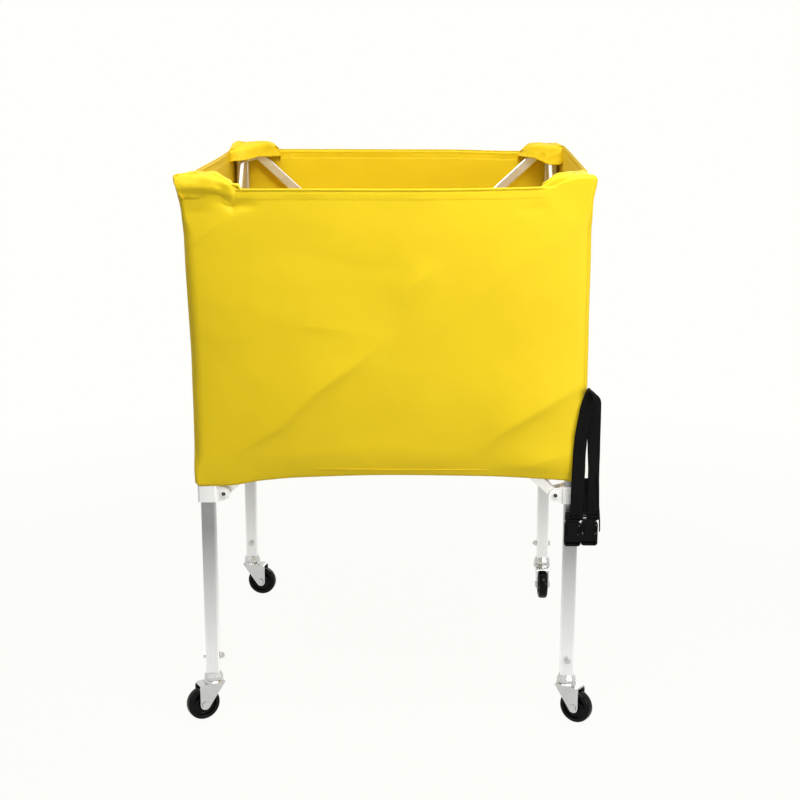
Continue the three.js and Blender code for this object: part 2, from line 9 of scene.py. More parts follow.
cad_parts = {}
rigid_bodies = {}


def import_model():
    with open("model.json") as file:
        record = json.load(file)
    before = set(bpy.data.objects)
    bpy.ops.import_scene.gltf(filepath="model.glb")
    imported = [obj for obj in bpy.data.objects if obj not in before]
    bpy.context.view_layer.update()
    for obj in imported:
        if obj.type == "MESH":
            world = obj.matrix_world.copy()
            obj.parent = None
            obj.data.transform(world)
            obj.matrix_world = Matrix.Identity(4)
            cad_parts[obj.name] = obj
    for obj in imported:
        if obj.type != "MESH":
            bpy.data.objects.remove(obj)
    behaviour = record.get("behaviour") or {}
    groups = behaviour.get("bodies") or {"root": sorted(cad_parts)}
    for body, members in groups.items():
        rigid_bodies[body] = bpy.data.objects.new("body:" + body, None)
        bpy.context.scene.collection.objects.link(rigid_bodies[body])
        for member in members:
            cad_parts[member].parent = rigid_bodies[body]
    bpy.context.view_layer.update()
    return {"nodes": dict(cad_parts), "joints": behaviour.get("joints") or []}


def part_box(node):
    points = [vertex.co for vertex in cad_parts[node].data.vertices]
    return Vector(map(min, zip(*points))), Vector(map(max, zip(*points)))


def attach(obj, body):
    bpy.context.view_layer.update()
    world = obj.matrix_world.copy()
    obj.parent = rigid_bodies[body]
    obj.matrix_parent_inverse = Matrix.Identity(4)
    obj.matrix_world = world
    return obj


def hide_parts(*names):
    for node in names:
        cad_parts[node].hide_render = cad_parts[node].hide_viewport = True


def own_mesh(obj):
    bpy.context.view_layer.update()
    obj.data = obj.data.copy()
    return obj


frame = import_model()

MM = 0.001

# The frame that carries the bag: each corner's way inwards in X and Y, and the body of its leg
JOINTS = {joint["name"]: joint for joint in frame["joints"]}
CORNERS = {
    "front_left": (1, 1),
    "front_right": (-1, 1),
    "rear_right": (-1, -1),
    "rear_left": (1, -1),
}
LEG_BODY = {
    "front_left": "root",
    "front_right": "leg_front_right",
    "rear_right": "leg_rear_right",
    "rear_left": "leg_rear_left",
}


def node_middle(name):
    low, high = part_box(name)
    return (low + high) / 2


def leg_axis(corner):
    return node_middle(f"leg_{corner}")


FRONT_LEFT = leg_axis("front_left")
REAR_RIGHT = leg_axis("rear_right")
LEG_SPACING = REAR_RIGHT.x - FRONT_LEFT.x
MIDDLE = (FRONT_LEFT + REAR_RIGHT) / 2
WALL_OUT = FRONT_LEFT.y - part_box("bag_front")[0].y
SIDE_LENGTH = LEG_SPACING + 2 * WALL_OUT
LID_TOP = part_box("hood_front_left")[1].z
BAG_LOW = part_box("bag_front")[0].z
BAG_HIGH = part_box("bag_front")[1].z
FLOOR_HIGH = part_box("bag_floor_front")[1].z


def smooth(start, end, value):
    """0 before a start, 1 past an end, and an eased share between them."""
    share = np.clip((np.asarray(value, float) - start) / (end - start), 0, 1)
    return share * share * (3 - 2 * share)


# Camera, at the photograph's place: its way from the middle of the legs and its height
IMAGE_SIDE = 800
FOCAL_PIXELS = 1573.8
SENSOR = 36
CAMERA_ASIDE = 62.2 * MM
CAMERA_BACK = 2700 * MM
CAMERA_HIGH = 1120 * MM
CAMERA_PITCH = math.radians(13.55)
CAMERA_YAW = math.radians(1.07)
CAMERA_ROLL = math.radians(-0.02)


def add_camera():
    data = bpy.data.cameras.new("camera")
    data.sensor_width = SENSOR
    data.lens = FOCAL_PIXELS * SENSOR / IMAGE_SIDE
    camera = bpy.data.objects.new("camera", data)
    bpy.context.scene.collection.objects.link(camera)
    turn = (
        Matrix.Rotation(CAMERA_YAW, 4, "Z")
        @ Matrix.Rotation(math.pi / 2 - CAMERA_PITCH, 4, "X")
        @ Matrix.Rotation(CAMERA_ROLL, 4, "Z")
    )
    ground = Vector((MIDDLE.x, MIDDLE.y, 0))
    place = ground + Vector((CAMERA_ASIDE, -CAMERA_BACK, CAMERA_HIGH))
    camera.matrix_world = Matrix.Translation(place) @ turn
    bpy.context.scene.camera = camera


add_camera()


# Materials: the scales of their textures are in waves per metre

GRAIN_DEEP = 0.2 * MM
THREAD_DEEP = 0.3 * MM
RIB_DEEP = 0.6 * MM
RUMPLE_DEEP = 4 * MM
CLOTH_YELLOW = (0.82, 0.585, 0.007)
THREAD_YELLOW = (0.62, 0.38, 0.02)
WEAVE_SCALE = 330
RIB_SCALE = 190
# Painted shade on the anodised legs: tones by height above the ground in millimetres, bright at the
# foot and darker under the bag, where the bag shades them
LEG_SHADE_TONES = [(0, 0.92), (120, 0.86), (220, 0.62), (330, 0.3), (420, 0.34), (600, 0.6)]
# How much lighter the legs are painted on their faces along X: painted light on their lit sides
LEG_SIDES_PAINTED_LIGHT = 1.3


class Nodes:
    """A node tree, with short calls to add and join its nodes."""

    def __init__(self, owner):
        owner.use_nodes = True
        self.tree = owner.node_tree

    def add(self, kind, **settings):
        node = self.tree.nodes.new(kind)
        for key, value in settings.items():
            if key in node.inputs:
                node.inputs[key].default_value = value
            else:
                setattr(node, key, value)
        return node

    def join(self, output, target):
        self.tree.links.new(output, target)

    def math(self, operation, first, second):
        node = self.add("ShaderNodeMath", operation=operation)
        for socket, value in zip(node.inputs, (first, second)):
            if isinstance(value, (int, float)):
                socket.default_value = value
            else:
                self.join(value, socket)
        return node.outputs["Value"]

    def background_rays(self):
        """1 for camera, glossy and transmission rays, which see the white background."""
        path = self.add("ShaderNodeLightPath")
        total = path.outputs["Is Camera Ray"]
        for name in ("Is Glossy Ray", "Is Transmission Ray"):
            total = self.math("MAXIMUM", total, path.outputs[name])
        return total

    def show(self, share, first, second, output):
        """Mixes two shaders by a share and joins the result to the named output node."""
        mix = self.add("ShaderNodeMixShader")
        for socket, value in zip(mix.inputs, (share, first, second)):
            self.join(value, socket)
        self.join(mix.outputs["Shader"], self.tree.nodes[output].inputs["Surface"])


class Finish(Nodes):
    """The nodes of a piece's material, laid out over the piece's own coordinates."""

    def __init__(self, name):
        self.material = bpy.data.materials.new(name)
        super().__init__(self.material)
        self.shader = self.tree.nodes["Principled BSDF"]
        self.coordinates = self.add("ShaderNodeTexCoord").outputs
        self.place = self.coordinates["Object"]

    def noise(self, scale, detail=3, stretch=(1, 1, 1)):
        mapping = self.add("ShaderNodeMapping", Scale=stretch)
        texture = self.add("ShaderNodeTexNoise", Scale=scale, Detail=detail)
        self.join(self.place, mapping.inputs["Vector"])
        self.join(mapping.outputs["Vector"], texture.inputs["Vector"])
        return texture.outputs["Fac"]

    def bands(self, scale, direction):
        texture = self.add("ShaderNodeTexWave", Scale=scale, bands_direction=direction)
        self.join(self.place, texture.inputs["Vector"])
        return texture.outputs["Fac"]

    def ramp(self, value, stops):
        ramp = self.add("ShaderNodeValToRGB")
        for index, (position, tone) in enumerate(stops):
            elements = ramp.color_ramp.elements
            element = elements[index] if index < len(elements) else elements.new(position)
            element.position = position
            element.color = (*rgb(tone), 1)
        self.join(value, ramp.inputs["Fac"])
        return ramp.outputs["Color"]

    def blend(self, value, tones, edges=(0.3, 0.7)):
        """A ramp from a first tone to a second."""
        return self.ramp(value, zip(edges, tones))

    def bump(self, height, strength, distance, below=None):
        node = self.add("ShaderNodeBump", Strength=strength, Distance=distance)
        self.join(height, node.inputs["Height"])
        if below is not None:
            self.join(below, node.inputs["Normal"])
        return node.outputs["Normal"]

    def painted_lit_sides(self, colour, lighter):
        """A colour with painted light: lighter on the faces that point along X, as on a leg's lit sides.
        """
        split = self.add("ShaderNodeSeparateXYZ")
        self.join(self.coordinates["Normal"], split.inputs["Vector"])
        facing = self.math("ABSOLUTE", split.outputs["X"], 0)
        lift = self.math("MULTIPLY_ADD", facing, lighter - 1)
        lift.node.inputs[2].default_value = 1
        scaled = self.add("ShaderNodeVectorMath", operation="SCALE")
        self.join(colour, scaled.inputs[0])
        self.join(lift, scaled.inputs["Scale"])
        return scaled.outputs["Vector"]

    def finish(self, colour, roughness, normal, **plain):
        self.join(colour, self.shader.inputs["Base Color"])
        self.join(roughness, self.shader.inputs["Roughness"])
        self.join(normal, self.shader.inputs["Normal"])
        for name, value in plain.items():
            self.shader.inputs[name.replace("_", " ")].default_value = value
        return self.material


def rgb(tone):
    """A colour as it is, or a grey from one number."""
    return tone if isinstance(tone, tuple) else (tone, tone, tone)


def shades(tone, spread):
    """A colour's darker and lighter neighbours."""
    return [tuple(min(1, part * (1 + side * spread)) for part in rgb(tone)) for side in (-1, 1)]


def cloth_material():
    made = Finish("yellow_coated_cloth")
    cloudy = made.blend(made.noise(7), shades(CLOTH_YELLOW, 0.03))
    upright = made.bands(WEAVE_SCALE, "Z")
    threads = [made.math("MULTIPLY", made.bands(WEAVE_SCALE, way), upright) for way in ("X", "Y")]
    rumple = made.bump(made.noise(38, detail=5), 0.12, RUMPLE_DEEP)
    normal = made.bump(made.math("MAXIMUM", *threads), 0.2, THREAD_DEEP, below=rumple)
    rough = made.blend(made.noise(60), (0.5, 0.62))
    return made.finish(cloudy, rough, normal, Specular_IOR_Level=0.26)


def thread_material():
    made = Finish("yellow_thread")
    colour = made.blend(made.noise(900), shades(THREAD_YELLOW, 0.1), (0.35, 0.65))
    rough = made.blend(made.noise(400), (0.55, 0.7))
    return made.finish(colour, rough, made.bump(made.noise(1500), 0.3, GRAIN_DEEP))


def webbing_material():
    made = Finish("black_webbing")
    ribs = made.bands(RIB_SCALE, "Z")
    colour = made.blend(ribs, (0.003, 0.01), (0.1, 0.9))
    rough = made.blend(made.noise(300), (0.62, 0.85))
    yarn = made.bump(made.noise(1200, stretch=(1, 1, 0.3)), 0.35, THREAD_DEEP)
    normal = made.bump(ribs, 0.7, RIB_DEEP, below=yarn)
    return made.finish(colour, rough, normal, Specular_IOR_Level=0.04)


def plastic_material(name, tone, roughness, texture=0.12, shine=0.5):
    made = Finish(name)
    colour = made.blend(made.noise(40), shades(tone, 0.04))
    rough = made.blend(made.noise(220, detail=4), (roughness - 0.06, roughness + 0.08))
    normal = made.bump(made.noise(1600, detail=2), texture, THREAD_DEEP)
    return made.finish(colour, rough, normal, Specular_IOR_Level=shine)


def brushed_material(name, tone, roughness, metallic):
    made = Finish(name)
    grain = made.noise(700, detail=2, stretch=(0.3, 0.3, 0.3))
    colour = made.blend(grain, shades(tone, 0.04))
    rough = made.blend(made.noise(30, detail=4), (roughness - 0.07, roughness + 0.09))
    return made.finish(colour, rough, made.bump(grain, 0.15, GRAIN_DEEP), Metallic=metallic)


def leg_material():
    made = Finish("anodised_leg_painted_shade_and_light")
    split = made.add("ShaderNodeSeparateXYZ")
    made.join(made.place, split.inputs["Vector"])
    # Painted shade: the leg's colour darkens with height, under the bag
    depth = made.ramp(split.outputs["Z"], [(height * MM, tone) for height, tone in LEG_SHADE_TONES])
    grain = made.noise(500, detail=2, stretch=(1, 1, 0.02))
    colour = made.add("ShaderNodeMixRGB", blend_type="MULTIPLY", Fac=1)
    made.join(made.painted_lit_sides(depth, LEG_SIDES_PAINTED_LIGHT), colour.inputs["Color1"])
    made.join(made.blend(grain, (0.96, 1)), colour.inputs["Color2"])
    rough = made.blend(made.noise(30, detail=4), (0.28, 0.4))
    normal = made.bump(grain, 0.1, GRAIN_DEEP)
    return made.finish(colour.outputs["Color"], rough, normal, Metallic=0.75)


def zinc_material():
    made = Finish("bright_zinc")
    colour = made.blend(made.noise(25, detail=2), (0.56, 0.63))
    rough = made.blend(made.noise(140), (0.22, 0.34))
    return made.finish(colour, rough, made.bump(made.noise(300), 0.05, GRAIN_DEEP), Metallic=0.9)


MATERIALS = {
    "yellow_cloth": cloth_material(),
    "black_webbing": webbing_material(),
    "black_plastic": plastic_material("black_buckle_plastic", 0.004, 0.36, shine=0.07),
    "white_plastic": plastic_material("white_moulded_plastic", (0.95, 0.945, 0.92), 0.42),
    "wheel_rubber": plastic_material("black_wheel", 0.004, 0.16, texture=0.03, shine=0.1),
    "zinc_steel": zinc_material(),
    "leg_aluminium": leg_material(),
    "bar_aluminium": brushed_material("mill_finish_bar", (0.86, 0.85, 0.82), 0.34, 0.8),
}
THREAD = thread_material()
# Near-black finish of the rivet eyes: painted shade of the rivet holes
RIVET_HOLE_SHADE = brushed_material("painted_rivet_hole_shade", 0.006, 0.6, 0)


# Mesh helpers

CLOTH = 1.2 * MM
BEVEL_ANGLE = math.radians(40)


def new_piece(name, mesh, body, slot, material=None, place=None, axis=None):
    """A piece that rides on a body, moved to a place, with its own Y turned onto an axis."""
    piece = bpy.data.objects.new(name, mesh)
    bpy.context.scene.collection.objects.link(piece)
    mesh.materials.append(material or MATERIALS[slot])
    if place is not None:
        piece.location = place
    if axis is not None:
        piece.rotation_mode = "QUATERNION"
        piece.rotation_quaternion = Vector((0, 1, 0)).rotation_difference(axis)
    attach(piece, body)
    return piece


def grid_mesh(name, points, closed=False):
    """A smooth mesh through rows of points; a closed one joins each row's end to its start."""
    rows, columns = points.shape[:2]
    spans = columns if closed else columns - 1
    faces = [
        (
            row * columns + column,
            row * columns + (column + 1) % columns,
            (row + 1) * columns + (column + 1) % columns,
            (row + 1) * columns + column,
        )
        for row in range(rows - 1)
        for column in range(spans)
    ]
    mesh = bpy.data.meshes.new(name)
    mesh.from_pydata(points.reshape(-1, 3).tolist(), [], faces)
    mesh.polygons.foreach_set("use_smooth", [True] * len(faces))
    return mesh


def mend(mesh, merge=0, caps=(), round_caps=False):
    """Joins points that nearly coincide, caps loops of points and turns all faces outwards."""
    work = bmesh.new()
    work.from_mesh(mesh)
    if merge:
        bmesh.ops.remove_doubles(work, verts=work.verts, dist=merge)
    work.verts.ensure_lookup_table()
    for loop in caps:
        work.faces.new([work.verts[index] for index in loop]).smooth = round_caps
    bmesh.ops.recalc_face_normals(work, faces=work.faces)
    work.to_mesh(mesh)
    work.free()


def thicken(piece):
    """Gives a sheet of cloth its thickness, inwards from its outer face."""
    solid = piece.modifiers.new("thickness", "SOLIDIFY")
    solid.thickness = CLOTH
    solid.offset = -1


def soften(piece, width, segments=2):
    bevel = piece.modifiers.new("edges", "BEVEL")
    bevel.width = width
    bevel.segments = segments
    bevel.limit_method = "ANGLE"
    bevel.angle_limit = BEVEL_ANGLE


def ripple(point, size, seed):
    """Smooth noise between -1 and 1 at a place."""
    return noise.noise(Vector(point) / size + Vector((seed, 0, 0)))


def ripples(points, waves, seed):
    """Noise at rows of places, summed over waves that each have a size, a height and a seed."""
    return np.array([
        [sum(height * ripple(point, size, seed + own) for size, height, own in waves) for point in row]
        for row in points
    ])


# Bag walls

CLOTH_STEP = 4 * MM
HEM_PROUD = 0.5 * MM
HEM_FADE = (16.4 * MM, 17.8 * MM)
# Height, place below the edge and width of the top hem's rolled bead and of the groove under it
HEM_WAVES = [(1.5 * MM, 2 * MM, 1.5 * MM), (-0.6 * MM, 5 * MM, 1 * MM)]
# Rows of the top hem in millimetres below its edge; the seam is one of them
HEM_ROWS = (21, 19, 18, 17.4, 16.8, 16, 14, 11, 8.5, 6.8, 5.8, 5, 4.2, 3.4, 2.6, 1.9, 1.2, 0.5, 0)
SEAM_ROW = HEM_ROWS.index(14)
SEAM_ENDS = 22
SEAM_PROUD = 0.2 * MM
STITCH_LONG = 3 * MM
STITCH_GAP = 1.4 * MM
STITCH_THICK = 0.7 * MM
# Rows of the turned-in lip at the bottom: how far in and how far up, in millimetres
LIP = [(2.0, 9), (2.2, 5), (1.9, 1.4), (1.1, 0.1)]
# The bag's upright edges are rounded, and tighter where the brackets fill them: at the bottom up
# to one height above the bag's lowest edge, and at the top from one below the lid
CORNER_ROUND = 8 * MM
CORNER_ROUND_MIDDLE = 20 * MM
CORNER_STEPS = 7
SLIDER_ABOVE = 14 * MM
BRACKET_BELOW = 38 * MM
BRACKET_NEAR = 45 * MM
# The side walls run on round the corners and lie deeper there, under the front and rear walls
CORNER_LAP_SHARE = 0.6
LAP_STEPS = 3
LAP_DEEP = 1.5 * MM
LAP_LEANS = (math.sin(math.pi / 4) - 0.02, math.sin(math.pi / 4) + 0.08)
BELLY = 7 * MM
ROUND_POWER = 0.7
# How far the bottom edge curls in at the corners and in the middle, and up to which height
CURL_CORNER = 0.8 * MM
CURL_MIDDLE = 8 * MM
CURL_RISE = 48 * MM
# Shares of the wall over which its waves fade at the sides, its relief above the bottom, and its
# folds at the sides
EDGE_SHARE = 0.06
BOTTOM_SHARE = 0.05
FOLD_END_SHARE = 0.02
TOP_FADE = 8 * MM
WALL_WAVES = [(90 * MM, 1.2 * MM, 0), (30 * MM, 0.4 * MM, 3)]
WALL_SEED = 1.1
WALL_SEED_STEP = 7.3
# Where the front right bracket carries the wall without a hem, by distance from its corner
HOODED = (60 * MM, 82 * MM)
HOODED_ROLL = 6 * MM
ROLL_OVER = 9 * MM
CREASE_CORE = 2 * MM
FOLD_FADE_SHARE = 0.45

SIDES = {
    "front": dict(body="root", along=(1, 0), out=(0, -1)),
    "rear": dict(body="leg_rear_left", along=(1, 0), out=(0, 1)),
    "left": dict(body="root", along=(0, 1), out=(-1, 0)),
    "right": dict(body="leg_front_right", along=(0, 1), out=(1, 0)),
}

# Lines of the top hem and the bottom hem, as places along a side from its start corner and
# heights below the lid or above the bag's lowest corner, in millimetres
HEM_LINES = {
    "front": [
        (0, 8), (50, 8), (58, 14), (70, 20.3), (174, 19.9), (325, 20), (544, 16.4), (557, 14.3),
        (570, 6.7), (582, 2.2), (597, -0.6), (609, -0.2), (615, 1),
    ],
    "rear": [
        (0, 8), (50, 8), (75, 9), (200, 9.2), (400, 9.5), (527, 12), (545, 12), (565, 8), (615, 8),
    ],
    "left": [
        (0, 8), (40, 7), (66, 3.5), (96, 2.9), (250, 5), (427, 6.8), (542, 6), (575, 8), (615, 8),
    ],
    "right": [
        (0, 1), (30, 1.5), (60, 1), (172, -0.5), (379, -4), (484, -5), (540, -4), (575, 3), (615, 8),
    ],
}
FAR_BOTTOM = [(110, 10), (200, 15), (420, 15), (510, 10), (570, 2), (601, 0), (615, 9)]
BOTTOM_LINES = {
    "front": [
        (0, 7), (8, -1), (31, -1), (55, -0.4), (106, 7.5), (166, 12.5), (325, 16.8), (452, 16.2),
        (578, 11), (604, 8), (615, 11),
    ],
    "rear": [(0, 9), (14, 0), (50, 2), *FAR_BOTTOM],
    "left": [(0, 7), (14, 0), (50, 1), *FAR_BOTTOM],
    "right": [(0, 11), (14, 6), (50, 8), (110, 12), *FAR_BOTTOM[1:]],
}

# Folds of each wall: the line of each as shares of the wall's width and height, how softly it
# falls off on the left and on the right of its direction, and how far it stands out or in, both
# in millimetres
FOLD_SHARES = {
    "front": [
        (
            [(0.05, 0.06), (0.123, 0.123), (0.222, 0.202), (0.32, 0.327), (0.435, 0.434), (0.53, 0.55)],
            (60, 10), 8,
        ),
        ([(0.50, 0.58), (0.56, 0.67), (0.65, 0.765)], (34, 14), 2.6),
        ([(0.13, 0.93), (0.06, 0.845), (-0.03, 0.73)], (9, 14), 3.4),
        ([(0.12, 0.89), (0.05, 0.80), (-0.03, 0.69)], (10, 14), 2.8),
        ([(0.125, 0.91), (0.06, 0.825), (-0.03, 0.71)], (7, 7), -2),
        ([(0.06, 0.945), (0.085, 0.936), (0.113, 0.924), (0.15, 0.924), (0.19, 0.928)], (7, 3.5), -4.6),
        ([(0.11, 0.95), (0.113, 0.925), (0.117, 0.89)], (3, 3), -2.6),
        ([(0.0, 0.885), (0.016, 0.903), (0.075, 0.916)], (5, 7), -1.8),
        ([(0.20, 0.54), (0.32, 0.535), (0.48, 0.512)], (34, 4), 1.3),
        ([(0.53, 0.392), (0.61, 0.389)], (20, 4), 0.6),
        ([(0.80, 0.912), (0.882, 0.921), (0.898, 0.88)], (6, 10), -1.5),
        ([(0.70, 0.07), (0.745, 0.14), (0.80, 0.20), (1.03, 0.385)], (46, 14), 7.5),
        ([(0.76, 0.0), (0.88, 0.085), (1.03, 0.14)], (30, 26), 4.5),
        ([(0.64, 0.54), (0.82, 0.74), (1.02, 0.90)], (50, 40), 3.0),
        ([(0.10, 0.84), (0.45, 0.72), (0.72, 0.76)], (60, 50), -2.4),
    ],
    "rear": [
        ([(0.06, 0.04), (0.18, 0.22), (0.30, 0.42)], (30, 14), -3),
        ([(0.94, 0.04), (0.82, 0.20), (0.72, 0.38)], (14, 30), -3),
        ([(0.10, 0.90), (0.34, 0.60)], (34, 26), 2.4),
        ([(0.90, 0.90), (0.66, 0.62)], (26, 34), 2.2),
        ([(0.45, 0.10), (0.55, 0.70)], (60, 50), -2.2),
    ],
    "left": [
        ([(0.05, 0.04), (0.16, 0.20), (0.28, 0.40)], (30, 14), -3),
        ([(0.95, 0.04), (0.84, 0.24), (0.74, 0.42)], (14, 28), -2.6),
        ([(0.06, 0.92), (0.36, 0.66)], (30, 24), -2.4),
        ([(0.94, 0.92), (0.64, 0.70)], (24, 30), 2.2),
        ([(0.48, 0.14), (0.40, 0.66)], (60, 50), -2.2),
    ],
    "right": [
        ([(0.06, 0.05), (0.15, 0.18), (0.26, 0.36)], (28, 12), -2.6),
        ([(0.95, 0.04), (0.84, 0.24), (0.74, 0.42)], (14, 28), -2.8),
        ([(0.05, 0.92), (0.32, 0.64)], (30, 22), 2.2),
        ([(0.94, 0.92), (0.66, 0.70)], (22, 30), -2.2),
        ([(0.50, 0.12), (0.58, 0.66)], (60, 50), -2.2),
    ],
}

# Corners at which the bag is drawn out, in millimetres: how far in X and Y, how near the corner,
# and the heights below the lid at which it starts and at which it is whole
DRAWN_OUT = [
    ("front_left", (-3, 0), 34, 495, 488),
    ("front_left", (-7, 0), 40, 300, 90),
    ("front_left", (-6.5, -3), 22, 62, 14),
    ("front_right", (4, 0), 34, 495, 488),
    ("front_right", (6.5, 0), 20, 46, 4),
]


def side_frame(name):
    """A side's start corner on the wall's outer planes, its direction and its outward direction."""
    side = SIDES[name]
    along = Vector((*side["along"], 0))
    out = Vector((*side["out"], 0))
    start = Vector((MIDDLE.x, MIDDLE.y, 0)) + SIDE_LENGTH / 2 * (out - along)
    return start, along, out


def line_at(points, places):
    """A smooth line through a few points, level where they turn."""
    xs, ys = np.array(points, float).T * MM
    steps = np.diff(ys) / np.diff(xs)
    before, after = steps[:-1], steps[1:]
    turns = before * after <= 0
    inner = np.where(turns, 0, 2 * before * after / np.where(turns, 1, before + after))
    slopes = np.concatenate([steps[:1], inner, steps[-1:]])
    spot = np.clip(np.searchsorted(xs, places, side="right") - 1, 0, len(xs) - 2)
    width = xs[spot + 1] - xs[spot]
    share = np.clip((places - xs[spot]) / width, 0, 1)
    square, cube = share**2, share**3
    return (
        (2 * cube - 3 * square + 1) * ys[spot]
        + (cube - 2 * square + share) * width * slopes[spot]
        + (3 * square - 2 * cube) * ys[spot + 1]
        + (cube - square) * width * slopes[spot + 1]
    )


def fold(points, widths, depth, along, high):
    """How far one fold pushes the cloth out at places along the wall and up it."""
    nearest = np.full(along.shape, np.inf)
    side = np.zeros(along.shape)
    reach = np.zeros(along.shape)
    passed = 0
    for start, end in zip(points, points[1:]):
        run = end - start
        length = np.hypot(*run)
        ahead = run / length
        share = np.clip((along - start[0]) * ahead[0] + (high - start[1]) * ahead[1], 0, length)
        step_x = along - start[0] - share * ahead[0]
        step_z = high - start[1] - share * ahead[1]
        away = np.hypot(step_x, step_z)
        nearer = away < nearest
        nearest = np.where(nearer, away, nearest)
        side = np.where(nearer, ahead[0] * step_z - ahead[1] * step_x, side)
        reach = np.where(nearer, passed + share, reach)
        passed += length
    width = np.where(side > 0, widths[0], widths[1])
    fade = FOLD_FADE_SHARE * passed
    ends = smooth(0, fade, reach) * smooth(0, fade, passed - reach)
    return depth * ends * np.exp(-(np.hypot(nearest, CREASE_CORE) - CREASE_CORE) / width)


def folds(name, along, high):
    """How far all the folds push a wall out."""
    size = np.array([SIDE_LENGTH, BAG_HIGH - BAG_LOW])
    return sum(
        fold(np.array(points) * size, np.array(widths) * MM, depth * MM, along, high)
        for points, widths, depth in FOLD_SHARES[name]
    )


def draw_out(points):
    """Points of the cloth, moved where a corner of the bag is drawn out."""
    moved = np.array(points, float)
    for corner, by, reach, start, whole in DRAWN_OUT:
        axis = leg_axis(corner)
        inward = CORNERS[corner]
        place = (axis.x - inward[0] * WALL_OUT, axis.y - inward[1] * WALL_OUT)
        away = np.hypot(points[..., 0] - place[0], points[..., 1] - place[1])
        share = np.exp(-((away / (reach * MM)) ** 2))
        share *= smooth(LID_TOP - start * MM, LID_TOP - whole * MM, points[..., 2])
        moved[..., 0] += by[0] * MM * share
        moved[..., 1] += by[1] * MM * share
    return moved


def rounding(level):
    """The radius of the bag's upright edges at a height: small at the brackets."""
    above, below = BAG_LOW + SLIDER_ABOVE, LID_TOP - BRACKET_BELOW
    low = smooth(above, above + BRACKET_NEAR, level)
    high = 1 - smooth(below - BRACKET_NEAR, below, level)
    return CORNER_ROUND + (CORNER_ROUND_MIDDLE - CORNER_ROUND) * low * high


def hooded(name, place):
    """1 where a wall runs over the front right bracket without a hem of its own."""
    if name not in ("front", "right"):
        return np.zeros_like(place)
    away = SIDE_LENGTH - place if name == "front" else place
    return 1 - smooth(*HOODED, away)


def hem_form(below, plain):
    """How far the top hem stands out at places below its edge: a doubled band and a rolled edge."""
    form = HEM_PROUD * (1 - smooth(*HEM_FADE, below))
    for high, at, wide in HEM_WAVES:
        form += high * np.exp(-(((below - at) / wide) ** 2))
    return form * plain


def wall_rows():
    """Shares of the way up and distances below the edge of a wall's rows: lip, face and hem."""
    top_rows = np.array(HEM_ROWS) * MM
    count = int(round((BAG_HIGH - BAG_LOW - top_rows[0]) / CLOTH_STEP))
    face = np.linspace(0, 1, count, endpoint=False)
    shares = np.concatenate([np.zeros(len(LIP)), face, np.ones(len(top_rows))])
    below = np.concatenate([np.full(len(LIP) + count, top_rows[0]), top_rows])
    return shares[:, None], below[:, None]


def wall_columns(name, radius):
    """Places along a wall, how far each is inset at a rounded corner, and how far it leans."""
    lapping = name in ("left", "right")
    first = -CORNER_LAP_SHARE if lapping else 0
    turn = math.pi / 4 * (1 - np.linspace(first, 1, CORNER_STEPS + LAP_STEPS * lapping)[:-1])
    straight = np.linspace(0, 1, int(round(SIDE_LENGTH / CLOTH_STEP)))
    near = radius * (1 - np.sin(turn))
    near_inset = radius * (1 - np.cos(turn))
    middle = radius + straight * (SIDE_LENGTH - 2 * radius)
    place = np.hstack([near, middle, SIDE_LENGTH - near[:, ::-1]])
    inset = np.hstack([near_inset, 0 * middle, near_inset[:, ::-1]])
    lean = np.concatenate([-np.sin(turn), 0 * straight, np.sin(turn)[::-1]])
    return place, inset, lean


def bottom_curl(width_share, rise):
    """How far the bottom edge curls in."""
    curl = CURL_CORNER + (CURL_MIDDLE - CURL_CORNER) * np.sin(math.pi * width_share) ** ROUND_POWER
    return curl * np.clip(1 - rise / CURL_RISE, 0, 1) ** 2


def belly(width_share, height_share):
    """How far the middle of a wall swells."""
    across = 1 - np.abs(2 * width_share - 1) ** 4
    return BELLY * across * np.sin(math.pi * np.clip(height_share, 0, 1)) ** ROUND_POWER


def wall_points(name):
    """The outer face of a wall, row by row from the turned-in lip at its bottom to its top edge."""
    start, along, out = (np.array(value) for value in side_frame(name))
    height = BAG_HIGH - BAG_LOW
    shares, below = wall_rows()
    place, inset, lean = wall_columns(name, rounding(BAG_LOW + shares * height))
    lapped = smooth(*LAP_LEANS, np.abs(lean))
    bottom = BAG_LOW + line_at(BOTTOM_LINES[name], place)
    top = LID_TOP - line_at(HEM_LINES[name], place)
    level = bottom + (top - below - bottom) * shares
    rise = level - bottom
    width_share = place / SIDE_LENGTH
    from_side = np.minimum(width_share, 1 - width_share)

    from_hem = below - TOP_FADE + np.maximum(0, top - below - level)
    body = smooth(0, BOTTOM_SHARE, rise / height) * smooth(0, TOP_FADE, from_hem)
    seed = list(SIDES).index(name) * WALL_SEED_STEP + WALL_SEED
    spots = start + along * place[..., None] + np.array([0, 0, 1]) * level[..., None]
    wavy = ripples(spots, WALL_WAVES, seed)
    crease = folds(name, place, level - BAG_LOW) * body * smooth(0, FOLD_END_SHARE, from_side)
    over = hooded(name, place)
    hem = hem_form(top - level, 1 - over)
    roll = np.clip(HOODED_ROLL - (top - level), 0, HOODED_ROLL) ** 2 / ROLL_OVER * over
    pushed = (belly(width_share, rise / height) + wavy * body) * smooth(0, EDGE_SHARE, from_side)
    pushed += crease - bottom_curl(width_share, rise) + hem * (1 - lapped) - roll - LAP_DEEP * lapped

    pushed[: len(LIP)] -= np.array(LIP)[:, :1] * MM
    level[: len(LIP)] += np.array(LIP)[:, 1:] * MM
    direction = out * np.sqrt(1 - lean**2)[:, None] + along * lean[:, None]
    points = start + along * place[..., None] - out * inset[..., None] + direction * pushed[..., None]
    points[..., 2] = level
    return draw_out(points)


def gather(piece):
    """Gives a piece its own copy of its mesh."""
    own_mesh(piece)


